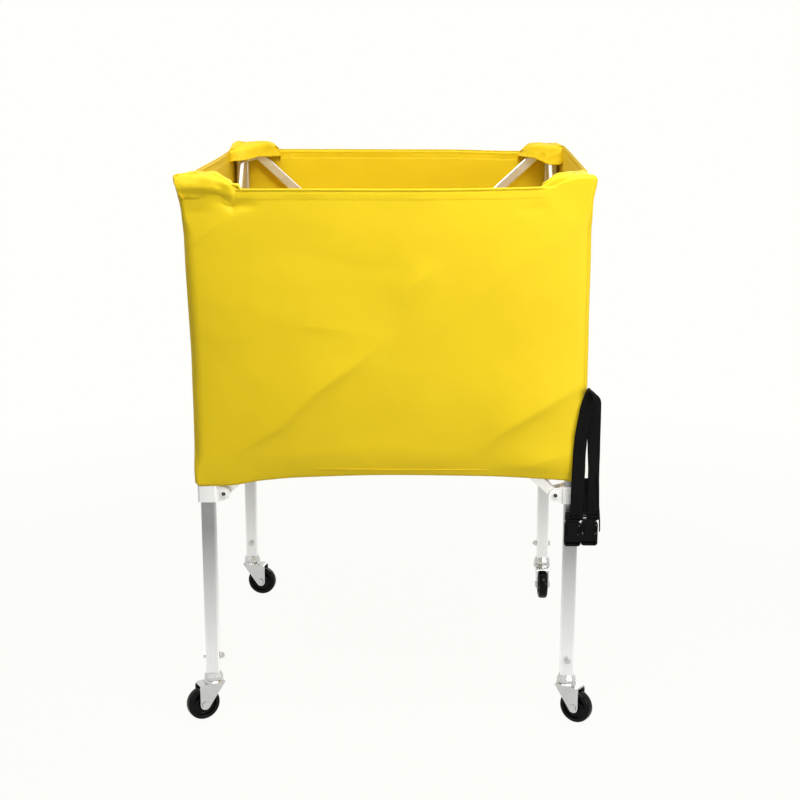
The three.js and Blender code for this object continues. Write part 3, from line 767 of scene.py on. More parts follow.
def stitch_row(points, outs, pitch):
    """Short raised stitches along a line of points, each with its outward direction, as one mesh."""
    mesh = bmesh.new()
    lengths = np.linalg.norm(np.diff(points, axis=0), axis=1)
    reach = np.concatenate([[0], np.cumsum(lengths)])

    def at(values, place):
        return Vector([np.interp(place, reach, values[:, axis]) for axis in range(3)])

    for place in np.arange(pitch, reach[-1] - pitch, pitch):
        ends = [at(points, place + side * STITCH_LONG / 2) for side in (-1, 1)]
        out = at(outs, place).normalized()
        middle = (ends[0] + ends[1]) / 2
        ahead = (ends[1] - ends[0]).normalized()
        aside = ahead.cross(out).normalized() * STITCH_THICK / 2
        proud = out * STITCH_THICK / 2
        ring = [mesh.verts.new(middle + step) for step in (aside, proud, -aside, -proud)]
        tips = [mesh.verts.new(end - proud / 2) for end in ends]
        for first, second in zip(ring, ring[1:] + ring[:1]):
            mesh.faces.new((tips[0], second, first))
            mesh.faces.new((tips[1], first, second))
    made = bpy.data.meshes.new("stitches")
    mesh.to_mesh(made)
    mesh.free()
    return made


def add_wall(name):
    points = wall_points(name)
    _, along, out = side_frame(name)
    if (along.cross(Vector((0, 0, 1)))).dot(out) < 0:
        points = points[:, ::-1]
    body = SIDES[name]["body"]
    wall = new_piece(f"wall_{name}", grid_mesh(f"wall_{name}", points), body, "yellow_cloth")
    thicken(wall)
    gather(wall)
    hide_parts(f"bag_{name}")
    seam = points[SEAM_ROW - len(HEM_ROWS), SEAM_ENDS:-SEAM_ENDS] + np.array(out) * SEAM_PROUD
    stitches = stitch_row(seam, np.tile(out, (len(seam), 1)), STITCH_LONG + STITCH_GAP)
    row = new_piece(f"hem_stitches_{name}", stitches, body, "yellow_cloth", THREAD)
    gather(row)


# Hoods over the legs

HOOD_SAMPLES = 168
HOOD_CORE = 6 * MM
ROUND_STEPS = 8
ROOF_SHARES = (0.03, 0.2, 0.4, 0.6, 0.78, 0.9)
RIM_STEPS = 8
RAISED_ROWS = 10
SKIRT_SHARES = np.linspace(0.08, 1, 14)
SKIRT_LEAST = 4 * MM
TUCK_POWER = 1.3
# The hood's outline: rounding of its two ends, the notches between its skirts and its inner
# band, and the band's knee as far and near places
END_ROUND = 3 * MM
NOTCH_SHARE = 0.93
NOTCH_OUT = 10 * MM
NOTCH_ROUND = 6 * MM
BAND_KNEE = (48.5 * MM, 13 * MM)
KNEE_ROUND = 12 * MM
BAND_NEAR = (2 * MM, 9 * MM)
BAND_RIM = 7 * MM
BAND_FLARE = 3 * MM
BAND_SPREAD = 50 * MM
# Where along X the front skirt starts to narrow and has narrowed, and where a skirt has its
# drop of the corner and of the end
ON_WAY = (16 * MM, 50 * MM)
SKIRT_FAR = (26 * MM, 46 * MM)
HOOD_WAVES = [(26 * MM, 1, 0), (12 * MM, 0.5, 2)]
HOOD_CRUMPLES = [(21 * MM, 1, 5)]
CRUMPLE_SHARE = 0.25
HOOD_SEED_STEP = 3.1
# How far an outward normal leans to X or Y where a hood's side rim and its front creases start
# and where they are whole
SIDE_LEANS = (0.3, 0.9)
FRONT_LEANS = (0.3, 0.8)

# Each hood in its corner's own X and Y, in millimetres: how far its outer faces stand off the
# leg's axis, how far it reaches, where its roof starts and ends its slope, how far it falls along
# each, how far its lid stands up, the width and the drop of its rounded outer rim at the corner
# and at the X end, and of its rim along its Y side, the drops of its outer skirt at the corner and
# at both ends, the drops of its inner band at one end, in the middle and at the other end, how far
# its skirt draws in and its lid puffs up, the side of its square cut, the rounding of its corner,
# how far its front draws in on the way to its end and at its end, how far the front's lower edge
# is tucked in further on the way, and how rumpled and how sharply crumpled the hood is
REAR_HOOD = dict(
    outs=(19.8, 19.8), ends=(62, 62), slope_x=(36, 58), slope_y=(20, 66), falls=(13, 0), lift=3,
    rim=(13, 13), rim_drop=(13, 13), side_rim=(8, 8), skirt=(32, 32, 28), band=(20, 21, 32),
    draw_in=1, puff=0.5, cut=120, corner=9, taper=(0, 0), tuck=0, rumple=0.8, crumple=2.6,
)
HOOD_SHAPES = {
    "front_left": dict(
        outs=(20, 29), ends=(66, 62), slope_x=(20, 60), slope_y=(30, 60), falls=(15, 2.5), lift=0.5,
        rim=(13, 5), rim_drop=(18, 5), side_rim=(4, 5), skirt=(36, 48, 36), band=(24, 21, 24),
        draw_in=10.8, puff=0, cut=120, corner=4, taper=(4.5, 10), tuck=2.6, rumple=1.2, crumple=3,
    ),
    "front_right": dict(
        outs=(16.4, 16.4), ends=(62, 62), slope_x=(30, 60), slope_y=(34, 60), falls=(14, 0), lift=0.5,
        rim=(6, 6), rim_drop=(6, 6), side_rim=(6, 6), skirt=(14, 24, 14), band=(24, 21, 24),
        draw_in=0, puff=1, cut=105, corner=6, taper=(0, 0), tuck=0, rumple=0.8, crumple=1.5,
    ),
    "rear_right": REAR_HOOD,
    "rear_left": dict(
        REAR_HOOD, ends=(72, 62), slope_x=(42, 76), slope_y=(0, 60), falls=(13, 9), lift=5,
        rim=(12, 12), rim_drop=(12, 12), band=(21, 19, 25),
    ),
}

# Creases over the front of a hood, in millimetres: the line of each as places across from the
# leg's axis and heights from the lid, its softness on either side and how far it stands out or in
HOOD_CREASES = {
    "front_left": [
        ([(-26, -27), (0, -27), (20, -28), (38, -35), (52, -44), (66, -46)], (4.5, 3.5), -4),
        ([(-20, -5), (-2, -6.5), (18, -5)], (3, 3), -2),
        ([(-22, -7), (-15, -13), (-8, -19)], (3, 3), -1.6),
        ([(-22, -34), (-14, -30), (-4, -31)], (2, 2), 1.4),
        ([(16, -11), (32, -15), (50, -20)], (4, 2.5), -2.2),
        ([(-6, -12), (10, -17), (30, -20)], (4, 4), 1.4),
    ],
}


def rounded_outline(corners, samples):
    """Evenly spaced points round a polygon whose corners, given as x, y and radius, are rounded."""
    path = []
    for index, (x, y, radius) in enumerate(corners):
        here = Vector((x, y))
        before = (Vector(corners[index - 1][:2]) - here).normalized()
        after = (Vector(corners[(index + 1) % len(corners)][:2]) - here).normalized()
        half = before.angle(after) / 2
        reach = radius / math.tan(half)
        centre = here + (before + after).normalized() * radius / math.sin(half)
        first = here + before * reach - centre
        last = here + after * reach - centre
        sweep = first.angle_signed(last)
        for step in range(ROUND_STEPS + 1):
            path.append(centre + Matrix.Rotation(-sweep * step / ROUND_STEPS, 2) @ first)
    path = np.array([tuple(point) for point in path])
    closed = np.vstack([path, path[:1]])
    reach = np.concatenate([[0], np.cumsum(np.linalg.norm(np.diff(closed, axis=0), axis=1))])
    spots = np.linspace(0, reach[-1], samples, endpoint=False)
    return np.column_stack([np.interp(spots, reach, closed[:, axis]) for axis in (0, 1)])


def hood_outline(shape):
    """A hood's outline in its corner's own X and Y, and the outward normals along it."""
    out_x, out_y = np.array(shape["outs"]) * MM
    end_x, end_y = np.array(shape["ends"]) * MM
    knee, knee_in = BAND_KNEE
    ring = rounded_outline([
        (-out_x, -out_y, shape["corner"] * MM),
        (end_x, -out_y, END_ROUND),
        (NOTCH_SHARE * end_x, -NOTCH_OUT, NOTCH_ROUND),
        (knee, knee_in, KNEE_ROUND),
        (knee_in, knee, KNEE_ROUND),
        (-NOTCH_OUT, NOTCH_SHARE * end_y, NOTCH_ROUND),
        (-out_x, end_y, END_ROUND),
    ], HOOD_SAMPLES)
    normal = np.roll(ring, -1, axis=0) - np.roll(ring, 1, axis=0)
    normal = np.column_stack([normal[:, 1], -normal[:, 0]])
    return ring, normal / np.linalg.norm(normal, axis=1)[:, None]


def inwardness(shape, ring):
    """1 on a hood's inner band, 0 on its outer skirts."""
    out_x, out_y = np.array(shape["outs"]) * MM
    return smooth(*BAND_NEAR, np.minimum(ring[:, 0] + out_x, ring[:, 1] + out_y))


def roof_level(shape, flat):
    """The height of a hood's roof over places in its corner's own X and Y."""
    slopes = [
        smooth(*(edge * MM for edge in shape[key]), flat[:, axis])
        for axis, key in enumerate(("slope_x", "slope_y"))
    ]
    drop = sum(fall * slope for fall, slope in zip(shape["falls"], slopes))
    return LID_TOP + (shape["lift"] - drop) * MM


def hood_rims(shape, normal, band, on_way):
    """The width and the drop of a hood's rounded rim along its outline."""
    on_side = smooth(*SIDE_LEANS, -normal[:, 0]) * (1 - band)
    for key, side in zip(("rim", "rim_drop"), shape["side_rim"]):
        first, last = shape[key]
        size = (first + (last - first) * on_way) * MM * (1 - band) + BAND_RIM * band
        yield size + (side * MM - size) * on_side


def hood_low(shape, ring, band):
    """The heights of a hood's lower edge along its outline."""
    spread = np.clip((ring[:, 0] - ring[:, 1]) / BAND_SPREAD, -1, 1)
    at_corner, at_x, at_y = shape["skirt"]
    far = smooth(*SKIRT_FAR, np.maximum(ring[:, 0], ring[:, 1]))
    skirt = at_corner + (np.where(ring[:, 0] > ring[:, 1], at_x, at_y) - at_corner) * far
    inner = np.interp(spread, (-1, 0, 1), np.array(shape["band"][::-1], float) * MM)
    return LID_TOP - skirt * MM * (1 - band) - inner * band


def hood_rings(shape):
    """Rings of a hood from the middle of its lid, over its rim and down its skirt and its band, in
    the corner's own X and Y, which point inwards from the leg's axis, with the outward normals
    along them and where they are its inner band."""
    ring, normal = hood_outline(shape)
    band = inwardness(shape, ring)
    on_way = smooth(*ON_WAY, ring[:, 0]) * (1 - band)
    at_end = smooth(ON_WAY[1], shape["ends"][0] * MM, ring[:, 0]) * (1 - band)
    drawn_back = (shape["taper"][0] * on_way + shape["taper"][1] * at_end) * MM
    ring[:, 1] += drawn_back
    rim, rim_drop = hood_rims(shape, normal, band, on_way)

    rings = []
    for share in ROOF_SHARES:
        flat = HOOD_CORE + (ring - normal * rim[:, None] - HOOD_CORE) * share
        rings.append((flat, roof_level(shape, flat) + shape["puff"] * MM * (1 - share**2)))
    for turn in np.linspace(0, math.pi / 2, RIM_STEPS):
        flat = ring - normal * (rim * (1 - math.sin(turn)))[:, None]
        rings.append((flat, roof_level(shape, flat) - rim_drop * (1 - math.cos(turn))))
    edge = roof_level(shape, ring) - rim_drop
    low = np.minimum(hood_low(shape, ring, band), edge - SKIRT_LEAST)
    drawn = np.maximum(0, shape["draw_in"] * MM - drawn_back) + shape["tuck"] * MM * on_way
    for share in SKIRT_SHARES:
        tuck = drawn * (1 - band) * share**TUCK_POWER
        flare = BAND_FLARE * band * share
        rings.append((ring + normal * (flare - tuck)[:, None], edge + (low - edge) * share))
    return np.array([np.column_stack([flat, level]) for flat, level in rings]), normal, band


def rumpled_hood(corner):
    """A hood's rings with its waves, its crumples and the creases over its front."""
    shape = HOOD_SHAPES[corner]
    points, normal, band = hood_rings(shape)
    seed = list(HOOD_SHAPES).index(corner) * HOOD_SEED_STEP
    waves = ripples(points, HOOD_WAVES, seed) * shape["rumple"]
    waves += (CRUMPLE_SHARE - abs(ripples(points, HOOD_CRUMPLES, seed))) * shape["crumple"]
    growth = np.minimum(1, np.arange(len(points)) / len(ROOF_SHARES))[:, None]
    normals = np.column_stack([normal, 0 * band])
    points += normals * (waves * growth * MM)[..., None]
    points[:RAISED_ROWS, :, 2] += MM * waves[:RAISED_ROWS]
    front = smooth(*FRONT_LEANS, -normal[:, 1]) * (1 - band)
    for line, widths, depth in HOOD_CREASES.get(corner, []):
        line = np.array(line) * MM + np.array([0, LID_TOP])
        crease = fold(line, np.array(widths) * MM, depth * MM, points[..., 0], points[..., 2])
        points[..., 1] -= crease * front
    return points


def corner_points(corner, points):
    """Points in a corner's own axes, put in the row frame."""
    axis = leg_axis(corner)
    inward = np.array([*CORNERS[corner], 1.0])
    return points * inward + np.array([axis.x, axis.y, 0])


def add_hood(corner):
    points = draw_out(corner_points(corner, rumpled_hood(corner)))
    if CORNERS[corner][0] * CORNERS[corner][1] > 0:
        points = points[:, ::-1]
    mesh = grid_mesh(f"cloth_hood_{corner}", points, closed=True)
    mend(mesh, caps=[range(HOOD_SAMPLES)[::-1]], round_caps=True)
    hood = new_piece(f"cloth_hood_{corner}", mesh, LEG_BODY[corner], "yellow_cloth")
    thicken(hood)
    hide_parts(f"hood_{corner}")


# Bar tacks inside the rear wall beside the rear hoods

TACK_AT = 86 * MM
TACK_LOW = 28 * MM
TACK_HIGH = 14 * MM
TACK_APART = 1 * MM
TACK_PROUD = 0.4 * MM
TACK_STEPS = 9
TACK_PITCH_SHARE = 0.8


def add_tack(corner):
    """Two close rows of short stitches down the inside of the rear wall's hem."""
    inner = -WALL_OUT + CLOTH + TACK_PROUD
    heights = np.linspace(LID_TOP - TACK_LOW, LID_TOP - TACK_HIGH, TACK_STEPS)
    for index in range(2):
        line = np.array([(TACK_AT + index * TACK_APART, inner, level) for level in heights])
        outs = np.tile((0, -1, 0), (len(line), 1))
        mesh = stitch_row(corner_points(corner, line), outs, TACK_PITCH_SHARE * STITCH_LONG)
        body = SIDES["rear"]["body"]
        tack = new_piece(f"tack_{corner}_{index}", mesh, body, "yellow_cloth", THREAD)
        gather(tack)


# Floor of the bag

FLOOR_SAG = 16 * MM
FLOOR_STEPS = 26
FLOOR_WAVE = 80 * MM
FLOOR_WAVE_HIGH = 1.5 * MM
FLOOR_SEED = 5
HEM_NEAR = 1 * MM


def floor_half(away, reach, hem_half, widest):
    """Half the width of a quarter of the floor, which is cut off at the corners of the bag."""
    if away < widest:
        return away
    return min(away, hem_half + (widest - hem_half) * (reach - away) / (reach - widest))


def floor_flap(name):
    """One quarter of the floor, from the middle out to its hem, sagging towards the middle."""
    _, along, out = side_frame(name)
    middle = Vector((MIDDLE.x, MIDDLE.y, 0))
    places = [vertex.co - middle for vertex in frame["nodes"][f"bag_floor_{name}"].data.vertices]
    reach = max(place.dot(out) for place in places)
    hem_half = max(abs(place.dot(along)) for place in places if place.dot(out) > reach - HEM_NEAR)
    widest = max(abs(place.dot(along)) for place in places)
    rows = []
    for row in range(FLOOR_STEPS + 1):
        away = reach * row / FLOOR_STEPS
        half = floor_half(away, reach, hem_half, widest)
        columns = []
        for column in range(2 * FLOOR_STEPS + 1):
            side = half * (column / FLOOR_STEPS - 1)
            spot = middle + out * away + along * side
            radial = min(1, math.hypot(away, side) / reach)
            wave = FLOOR_WAVE_HIGH * ripple((spot.x, spot.y, 0), FLOOR_WAVE, FLOOR_SEED)
            level = FLOOR_HIGH - FLOOR_SAG * (1 - radial**2) + wave * (1 - radial)
            columns.append((spot.x, spot.y, level))
        rows.append(columns)
    return np.array(rows)


def add_floor(name):
    mesh = grid_mesh(f"floor_{name}", floor_flap(name))
    flap = new_piece(f"floor_cloth_{name}", mesh, f"floor_{name}", "yellow_cloth")
    thicken(flap)
    gather(flap)
    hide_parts(f"bag_floor_{name}")


# Webbing straps

WEBBING = 20 * MM
WEBBING_THICK = 1.7 * MM
WEBBING_SIDES = 12
EDGE_POWER = 0.35
FACE_POWER = 0.6
STRAP_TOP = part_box("strap_front")[1].z
STRAP_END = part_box("buckle_front")[1].z
# The top that both straps hang from, just off the right end of the front wall
APEX_OUT = 1.5 * MM
APEX_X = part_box("bag_front")[1].x + APEX_OUT
STRAP_STEPS = 100
# How far each strap runs down into its buckle, through both slots of the clip
STRAP_SEAT = 13 * MM
# How far each of its two layers lies behind the strap's middle, in thicknesses of the webbing
LAYER_SHARES = {"outer": -0.55, "inner": 0.55}
# Middles of the two straps across from the apex and how many degrees they are turned edge-on, by
# height below the apex, with the lengths in millimetres
STRAP_LINES = {
    "front": [
        (6, 2.5, 86), (13, 2.6, 62), (22, 2.4, 40), (37, -0.8, 20), (57, -4.1, 8), (80, -7.6, 2),
        (105, -9.6, 0), (156, -11.2, 0), (206, -12, 0),
    ],
    "side": [
        (6, 2.5, 88), (11, 5, 74), (16, 7.6, 59), (21, 10.2, 40), (25.5, 12.6, 6), (50, 12.8, 2),
        (89, 12.7, 0), (130, 13.8, 26), (155, 14, 26), (180, 14, 10), (206, 14.5, 0),
    ],
}
# The end of the front strap that comes back up: its top below the apex, how far it runs into the
# buckle, and how far it lies aside of the apex, and behind the buckle's middle in thicknesses
RETURN_TOP = 150 * MM
RETURN_SEAT = 5 * MM
RETURN_ASIDE = 1.5 * MM
RETURN_BEHIND_SHARE = 2.4
RETURN_STEPS = 24
# The webbing in a buckle's lower slot: its heights below the buckle's middle and its width
LOOP_SHARES = np.linspace(0.445, 0.34, 8)
LOOP_WIDTH_SHARE = 0.82
# The loose end: its top above the buckles, its start aside of the apex, how far it stays inside
# the strap's box and behind the buckle, its width of the webbing, and its turn
TAIL_TOP = 60 * MM
TAIL_START = 20 * MM
TAIL_INSET = 2 * MM
TAIL_BEHIND = 4 * MM
TAIL_WIDTH_SHARE = 0.6
TAIL_TURN = math.radians(80)
TAIL_STEPS = 30


def swollen(value, power):
    """A sine or cosine raised to a power with its sign kept, which squares a round section."""
    return math.copysign(abs(value) ** power, value)


def add_webbing(name, centres, width=WEBBING, tilt=0):
    """A flat strip with rounded edges along a line of centres, facing -Y but for its tilt."""
    rows = []
    for index, (centre, turned) in enumerate(zip(centres, np.broadcast_to(tilt, len(centres)))):
        before = Vector(centres[max(0, index - 1)])
        after = Vector(centres[min(len(centres) - 1, index + 1)])
        ahead = (after - before).normalized()
        face = Matrix.Rotation(turned, 3, "Z") @ Vector((0, -1, 0))
        aside = ahead.cross(face).normalized()
        face = aside.cross(ahead).normalized()
        for turn in (2 * math.pi * step / WEBBING_SIDES for step in range(WEBBING_SIDES)):
            edge = swollen(math.cos(turn), EDGE_POWER) * width / 2
            rise = swollen(math.sin(turn), FACE_POWER) * WEBBING_THICK / 2
            rows.append(tuple(Vector(centre) + aside * edge + face * rise))
    mesh = grid_mesh(name, np.array(rows).reshape(-1, WEBBING_SIDES, 3), closed=True)
    last = len(rows) - WEBBING_SIDES
    mend(mesh, caps=[range(WEBBING_SIDES), range(last, len(rows))])
    return new_piece(name, mesh, "leg_front_right", "black_webbing")


def eased(values):
    """Values averaged with their neighbours."""
    return np.convolve(np.pad(values, 1, mode="edge"), np.ones(3) / 3, mode="valid")


def add_strap(name):
    """Two layers of webbing that hang from one twisted top and run into a buckle."""
    drops, middles, turns = np.array(STRAP_LINES[name], float).T
    depth = node_middle(f"buckle_{name}").y
    below = np.linspace(drops[0] * MM, STRAP_TOP - STRAP_END + STRAP_SEAT, STRAP_STEPS)
    xs = eased(APEX_X + np.interp(below, drops * MM, middles * MM))
    tilt = eased(np.radians(np.interp(below, drops * MM, turns)))
    side = -1 if name == "front" else 1
    for layer, share in LAYER_SHARES.items():
        behind = share * WEBBING_THICK
        centres = np.column_stack([
            xs - side * behind * np.sin(tilt),
            depth + behind * np.cos(tilt),
            STRAP_TOP - below,
        ])
        piece = add_webbing(f"strap_{name}_{layer}", centres, tilt=side * tilt)
        if layer == "outer":
            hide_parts(f"strap_{name}")


def add_return():
    """The end of the front strap that comes back up out of its buckle, behind both straps."""
    depth = node_middle("buckle_front").y + RETURN_BEHIND_SHARE * WEBBING_THICK
    heights = np.linspace(STRAP_TOP - RETURN_TOP, STRAP_END - RETURN_SEAT, RETURN_STEPS)
    add_webbing("strap_return", [(APEX_X + RETURN_ASIDE, depth, z) for z in heights])


def add_loop(name):
    """The webbing that goes round the lower bar of a buckle, where it fills the slot."""
    low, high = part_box(f"buckle_{name}")
    width, _, height = high - low
    middle = (low + high) / 2
    centres = [(middle.x, middle.y, z) for z in middle.z - height * LOOP_SHARES]
    add_webbing(f"strap_loop_{name}", centres, LOOP_WIDTH_SHARE * width)


def add_tail():
    """The loose end of the side strap, edge-on beside its buckle."""
    low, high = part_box("strap_side")
    depth = node_middle("buckle_side").y + TAIL_BEHIND
    heights = np.linspace(STRAP_END + TAIL_TOP, low.z, TAIL_STEPS)
    start, end = APEX_X + TAIL_START, high.x - TAIL_INSET
    xs = start + (end - start) * smooth(heights[0], low.z, heights)
    centres = [(x, depth, z) for x, z in zip(xs, heights)]
    add_webbing("strap_tail", centres, TAIL_WIDTH_SHARE * WEBBING, TAIL_TURN)


# Buckles

# Outline and holes of each plate: middle, width and height as shares of the buckle's, and its
# rounding as shares of the buckle's width and height
HOUSING_SHARES = [
    (0, -0.14, 1, 0.72, 0.18, 0),
    (-0.36, -0.02, 0.13, 0.3, 0.05, 0),
    (0.36, -0.02, 0.13, 0.3, 0.05, 0),
    (0, -0.4, 0.84, 0.07, 0, 0.03),
]
CLIP_SHARES = [
    (0, 0.37, 0.94, 0.26, 0.14, 0),
    (0, 0.42, 0.82, 0.055, 0, 0.02),
    (0, 0.32, 0.82, 0.055, 0, 0.02),
]
CLIP_THICK_SHARE = 0.82
# Outline of the right one of the clip's two prongs
PRONG_SHARES = [(0.3, 0.26), (0.38, 0.12), (0.45, -0.02), (0.4, -0.13), (0.3, -0.16), (0.26, 0)]
PRONG_THICK_SHARE = 0.56
# Width and steps of the rounded edges
PLATE_EDGE = (1.1 * MM, 3)
PRONG_EDGE = (0.5 * MM, 2)
PLATE_MERGE = 0.01 * MM
QUARTER_STEPS = 4


def plate_mesh(name, loops, thick):
    """A flat plate inside its outlines, with their holes, that stands up in X and Z."""
    curve = bpy.data.curves.new(name, "CURVE")
    curve.dimensions = "2D"
    curve.fill_mode = "BOTH"
    curve.extrude = thick / 2
    for loop in loops:
        spline = curve.splines.new("POLY")
        spline.points.add(len(loop) - 1)
        for point, (x, z) in zip(spline.points, loop):
            point.co = (x, z, 0, 1)
        spline.use_cyclic_u = True
    holder = bpy.data.objects.new(name, curve)
    bpy.context.scene.collection.objects.link(holder)
    bpy.context.view_layer.update()
    flat = holder.evaluated_get(bpy.context.evaluated_depsgraph_get())
    mesh = bpy.data.meshes.new_from_object(flat)
    bpy.data.objects.remove(holder)
    mesh.transform(Matrix.Rotation(math.pi / 2, 4, "X"))
    mend(mesh, merge=PLATE_MERGE)
    return mesh


def round_rect(size, shares):
    """A rectangle with rounded corners, given as shares of a buckle's width and height."""
    *places, by_width, by_height = shares
    x, z, width, height = (share * of for share, of in zip(places, size * 2))
    radius = by_width * size[0] + by_height * size[1]
    return [
        (
            x + side_x * (width / 2 - radius) + radius * math.cos(turn),
            z + side_z * (height / 2 - radius) + radius * math.sin(turn),
        )
        for side_x, side_z, quarter in ((1, 1, 0), (-1, 1, 1), (-1, -1, 2), (1, -1, 3))
        for turn in (math.pi / 2 * (quarter + step / QUARTER_STEPS) for step in range(QUARTER_STEPS + 1))
    ]


def prongs_mesh(size, thick):
    """The clip's two prongs, one the mirror of the other, that stand up in X and Z."""
    points = [
        (side * x * size[0], face * thick / 2, z * size[1])
        for side in (-1, 1)
        for face in (-1, 1)
        for x, z in PRONG_SHARES
    ]
    count = len(PRONG_SHARES)
    faces = [range(start, start + count) for start in range(0, len(points), count)]
    edges = [
        (front[at - 1], front[at], back[at], back[at - 1])
        for front, back in (faces[:2], faces[2:])
        for at in range(count)
    ]
    mesh = bpy.data.meshes.new("prongs")
    mesh.from_pydata(points, [], [*faces, *edges])
    mend(mesh)
    return mesh


def add_buckle(name):
    low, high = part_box(f"buckle_{name}")
    width, thick, height = high - low
    size = (width, height)
    housing, clip = (
        [round_rect(size, shares) for shares in loops] for loops in (HOUSING_SHARES, CLIP_SHARES)
    )
    parts = {
        "housing": (plate_mesh("housing", housing, thick), PLATE_EDGE),
        "clip": (plate_mesh("clip", clip, CLIP_THICK_SHARE * thick), PLATE_EDGE),
        "prongs": (prongs_mesh(size, PRONG_THICK_SHARE * thick), PRONG_EDGE),
    }
    for part, (mesh, edge) in parts.items():
        piece = new_piece(
            f"buckle_{part}_{name}", mesh, "leg_front_right", "black_plastic", place=(low + high) / 2,
        )
        soften(piece, *edge)
        if part == "housing":
            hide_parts(f"buckle_{name}")


# Wheels and rivets

# Half of a moulded wheel's section, as radius and place across in millimetres: the hub and the
# web from the axle, and the bead and the rim from the bead's own radius
HUB_SECTION = [(3.9, 9.3), (7.7, 9.5), (8.5, 8.7), (9.1, 4.6), (10.5, 3.4)]
RIM_SECTION = [(-2.2, 3.6), (-0.6, 4.8), (0, 7.6), (1, 8.5), (2.2, 8.4), (2.7, 7.9), (3.3, 8.6)]
BEAD_BELOW_TREAD = 8 * MM
SHOULDER_DEEP = 5.2 * MM
SHOULDER_OUT = 8.8 * MM
SHOULDER_POWER = 0.55
SHOULDER_TURNS = np.linspace(0.12, math.pi / 2, 9)
WHEEL_STEPS = 96
WHEEL_MERGE = 0.005 * MM
# The eye on a rivet's head, which stands off the middle of the pin, as radius and height in
# millimetres
RIVET_HEAD_OUT = 13.3 * MM
RIVET_EYE = [(0.3, 0.05), (1.2, 0.1), (1.9, 0.2), (2.4, 0.45), (2.8, 0.45), (3.2, 0)]
RIVET_STEPS = 32


def lathe_mesh(name, profile, steps):
    """A profile of radius and place pairs turned about Y."""
    rings = [
        [(radius * math.cos(turn), place, radius * math.sin(turn)) for radius, place in profile]
        for turn in (2 * math.pi * step / steps for step in range(steps))
    ]
    return grid_mesh(name, np.array(rings).transpose(1, 0, 2), closed=True)


def wheel_profile(radius):
    """A moulded wheel's section: hub, dished web, rim bead, rounded shoulder and crown."""
    bead = radius - BEAD_BELOW_TREAD
    half = [(from_axle * MM, place * MM) for from_axle, place in HUB_SECTION]
    half += [(bead + from_bead * MM, place * MM) for from_bead, place in RIM_SECTION]
    half += [
        (radius - SHOULDER_DEEP * (1 - math.sin(turn)), SHOULDER_OUT * math.cos(turn) ** SHOULDER_POWER)
        for turn in SHOULDER_TURNS
    ]
    mirrored = [(from_axle, -place) for from_axle, place in reversed(half[:-1])]
    return half + mirrored + half[:1]


def add_wheel(corner):
    roll = JOINTS[f"roll_{corner}"]
    centre = Vector(roll["pos_m"])
    mesh = lathe_mesh(f"wheel_{corner}", wheel_profile(centre.z), WHEEL_STEPS)
    mend(mesh, merge=WHEEL_MERGE)
    wheel = new_piece(
        f"moulded_wheel_{corner}", mesh, f"wheel_{corner}", "wheel_rubber",
        place=centre, axis=Vector(roll["axis"]).normalized(),
    )
    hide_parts(f"caster_wheel_{corner}")


def add_rivet_eye(corner):
    """The rolled eye on the outer head of the rivet that joins a bar to a sliding bracket, painted
    near-black as the shade in the rivet's hole.
    """
    pin = JOINTS[f"{corner}_slider_pin"]
    centre = Vector(pin["pos_m"])
    axis = Vector(pin["axis"]).normalized()
    if (centre - MIDDLE).dot(axis) < 0:
        axis = -axis
    mesh = lathe_mesh(f"rivet_eye_{corner}", np.array(RIVET_EYE) * MM, RIVET_STEPS)
    new_piece(
        f"rivet_eye_{corner}", mesh, pin["parent"], "zinc_steel", RIVET_HOLE_SHADE,
        place=centre + axis * RIVET_HEAD_OUT, axis=axis,
    )


# Finishes of the pieces that come from the frame, by the start of their names, with the width of
# their softened edges in millimetres
FINISH_OF = {
    "leg_": ("leg_aluminium", 0.5),
    "bar_": ("bar_aluminium", 0.4),
    "cross_pin": ("zinc_steel", 0.4),
    "upper_bracket": ("white_plastic", 0.8),
    "slider": ("white_plastic", 0.8),
    "caster_stem": ("zinc_steel", 0.5),
    "caster_fork": ("zinc_steel", 0.5),
    "caster_axle": ("zinc_steel", 0.5),
    "clamp_bolt": ("zinc_steel", 0.4),
}


def finish_frame():
    for name, node in frame["nodes"].items():
        for start, (slot, edge) in FINISH_OF.items():
            if name.startswith(start):
                node.data.materials.clear()
                node.data.materials.append(MATERIALS[slot])
                soften(node, edge * MM)


# Floor, light and background

BACKGROUND = (1, 1, 0.966, 1)
WORLD_STRENGTH = 0.36
STAGE_HALF = 12000 * MM
STAGE_GREY = (0.5, 0.5, 0.49, 1)
STAGE_ROUGHNESS = 0.9
# The ground glows white but for the shadows near the cart, which fade out between two distances
GROUND_GLOW = 0.955
SHADOW_NEAR = 900 * MM
SHADOW_FAR = 1900 * MM
# Each lamp's place, aim and width in metres, and its power in watts
LAMPS = {
    "key": ((0.55, -1.0, 1.8), (0, -0.3, 0.6), 0.6, 10.8),
    "side": ((1.25, -1.3, 0.8), (0, -0.3, 0.6), 0.8, 10.2),
    "top": ((0, -0.9, 2.6), (0, 0.2, 0.8), 1.2, 24.5),
    "fill": ((-2.4, -2.2, 1.3), (0, 0, 0.5), 2.0, 2),
    "inside": ((-0.6, 0, 1.6), (0.3, 0.2, 0.85), 0.6, 3),
    "back": ((1.2, 2.6, 1.8), (0, 0, 0.5), 1.6, 14),
}


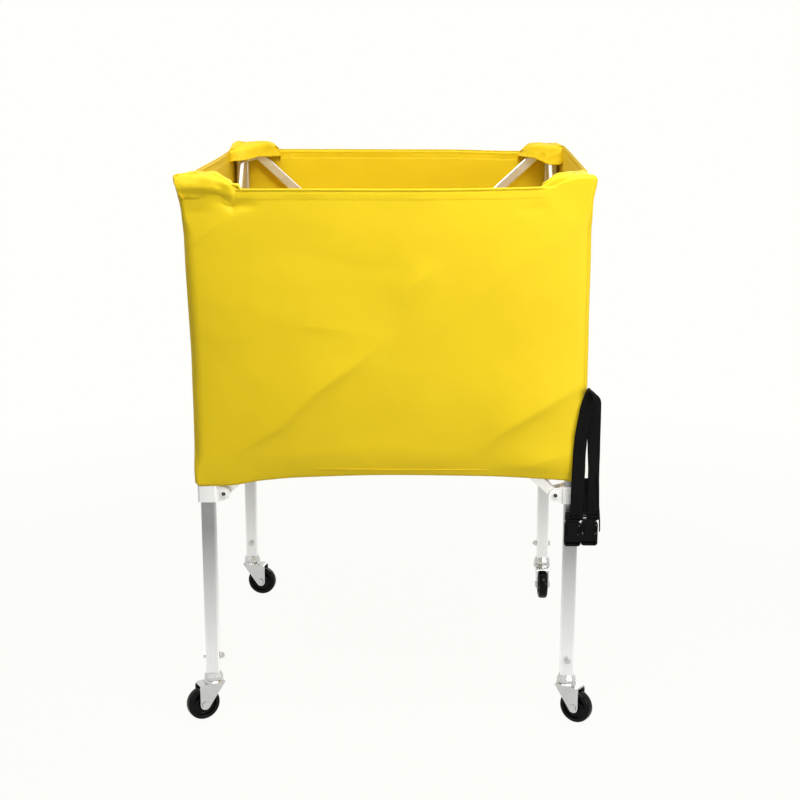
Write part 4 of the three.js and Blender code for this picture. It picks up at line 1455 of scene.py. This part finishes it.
def stage_material():
    made = Finish("studio_floor")
    plain = {"Base Color": STAGE_GREY, "Roughness": STAGE_ROUGHNESS, "Specular IOR Level": 0}
    for name, value in plain.items():
        made.shader.inputs[name].default_value = value
    glow = made.add("ShaderNodeEmission", Color=BACKGROUND)
    away = made.add("ShaderNodeVectorMath", operation="LENGTH")
    made.join(made.place, away.inputs[0])
    reach = {"From Min": SHADOW_NEAR, "From Max": SHADOW_FAR, "To Min": GROUND_GLOW}
    share = made.add("ShaderNodeMapRange", **reach)
    made.join(away.outputs["Value"], share.inputs["Value"])
    seen = made.math("MULTIPLY", made.background_rays(), share.outputs["Result"])
    made.show(seen, made.shader.outputs["BSDF"], glow.outputs["Emission"], "Material Output")
    return made.material


def add_stage():
    ends = (-STAGE_HALF, STAGE_HALF)
    mesh = grid_mesh("studio_floor", np.array([[(x, y, 0) for x in ends] for y in ends], float))
    mesh.materials.append(stage_material())
    floor = bpy.data.objects.new("studio_floor", mesh)
    bpy.context.scene.collection.objects.link(floor)


def add_world():
    world = bpy.data.worlds.new("studio")
    bpy.context.scene.world = world
    made = Nodes(world)
    soft = made.tree.nodes["Background"]
    soft.inputs["Color"].default_value = (1, 1, 1, 1)
    soft.inputs["Strength"].default_value = WORLD_STRENGTH
    white = made.add("ShaderNodeBackground", Color=BACKGROUND, Strength=1)
    shown = [node.outputs["Background"] for node in (soft, white)]
    made.show(made.background_rays(), *shown, "World Output")


def add_lamp(name, place, aim, size, power):
    data = bpy.data.lights.new(name, "AREA")
    data.shape = "DISK"
    data.size = size
    data.energy = power
    lamp = bpy.data.objects.new(name, data)
    bpy.context.scene.collection.objects.link(lamp)
    lamp.location = place
    lamp.rotation_mode = "QUATERNION"
    lamp.rotation_quaternion = (Vector(aim) - Vector(place)).to_track_quat("-Z", "Y")


add_world()
add_stage()
for lamp_name, settings in LAMPS.items():
    add_lamp(lamp_name, *settings)

finish_frame()
for side_name in SIDES:
    add_wall(side_name)
    add_floor(side_name)
for corner_name in CORNERS:
    add_hood(corner_name)
    add_wheel(corner_name)
    add_rivet_eye(corner_name)
for corner_name in ("rear_left", "rear_right"):
    add_tack(corner_name)
for strap_name in STRAP_LINES:
    add_strap(strap_name)
    add_buckle(strap_name)
    add_loop(strap_name)
add_return()
add_tail()

view = bpy.context.scene.view_settings
view.view_transform = "Standard"
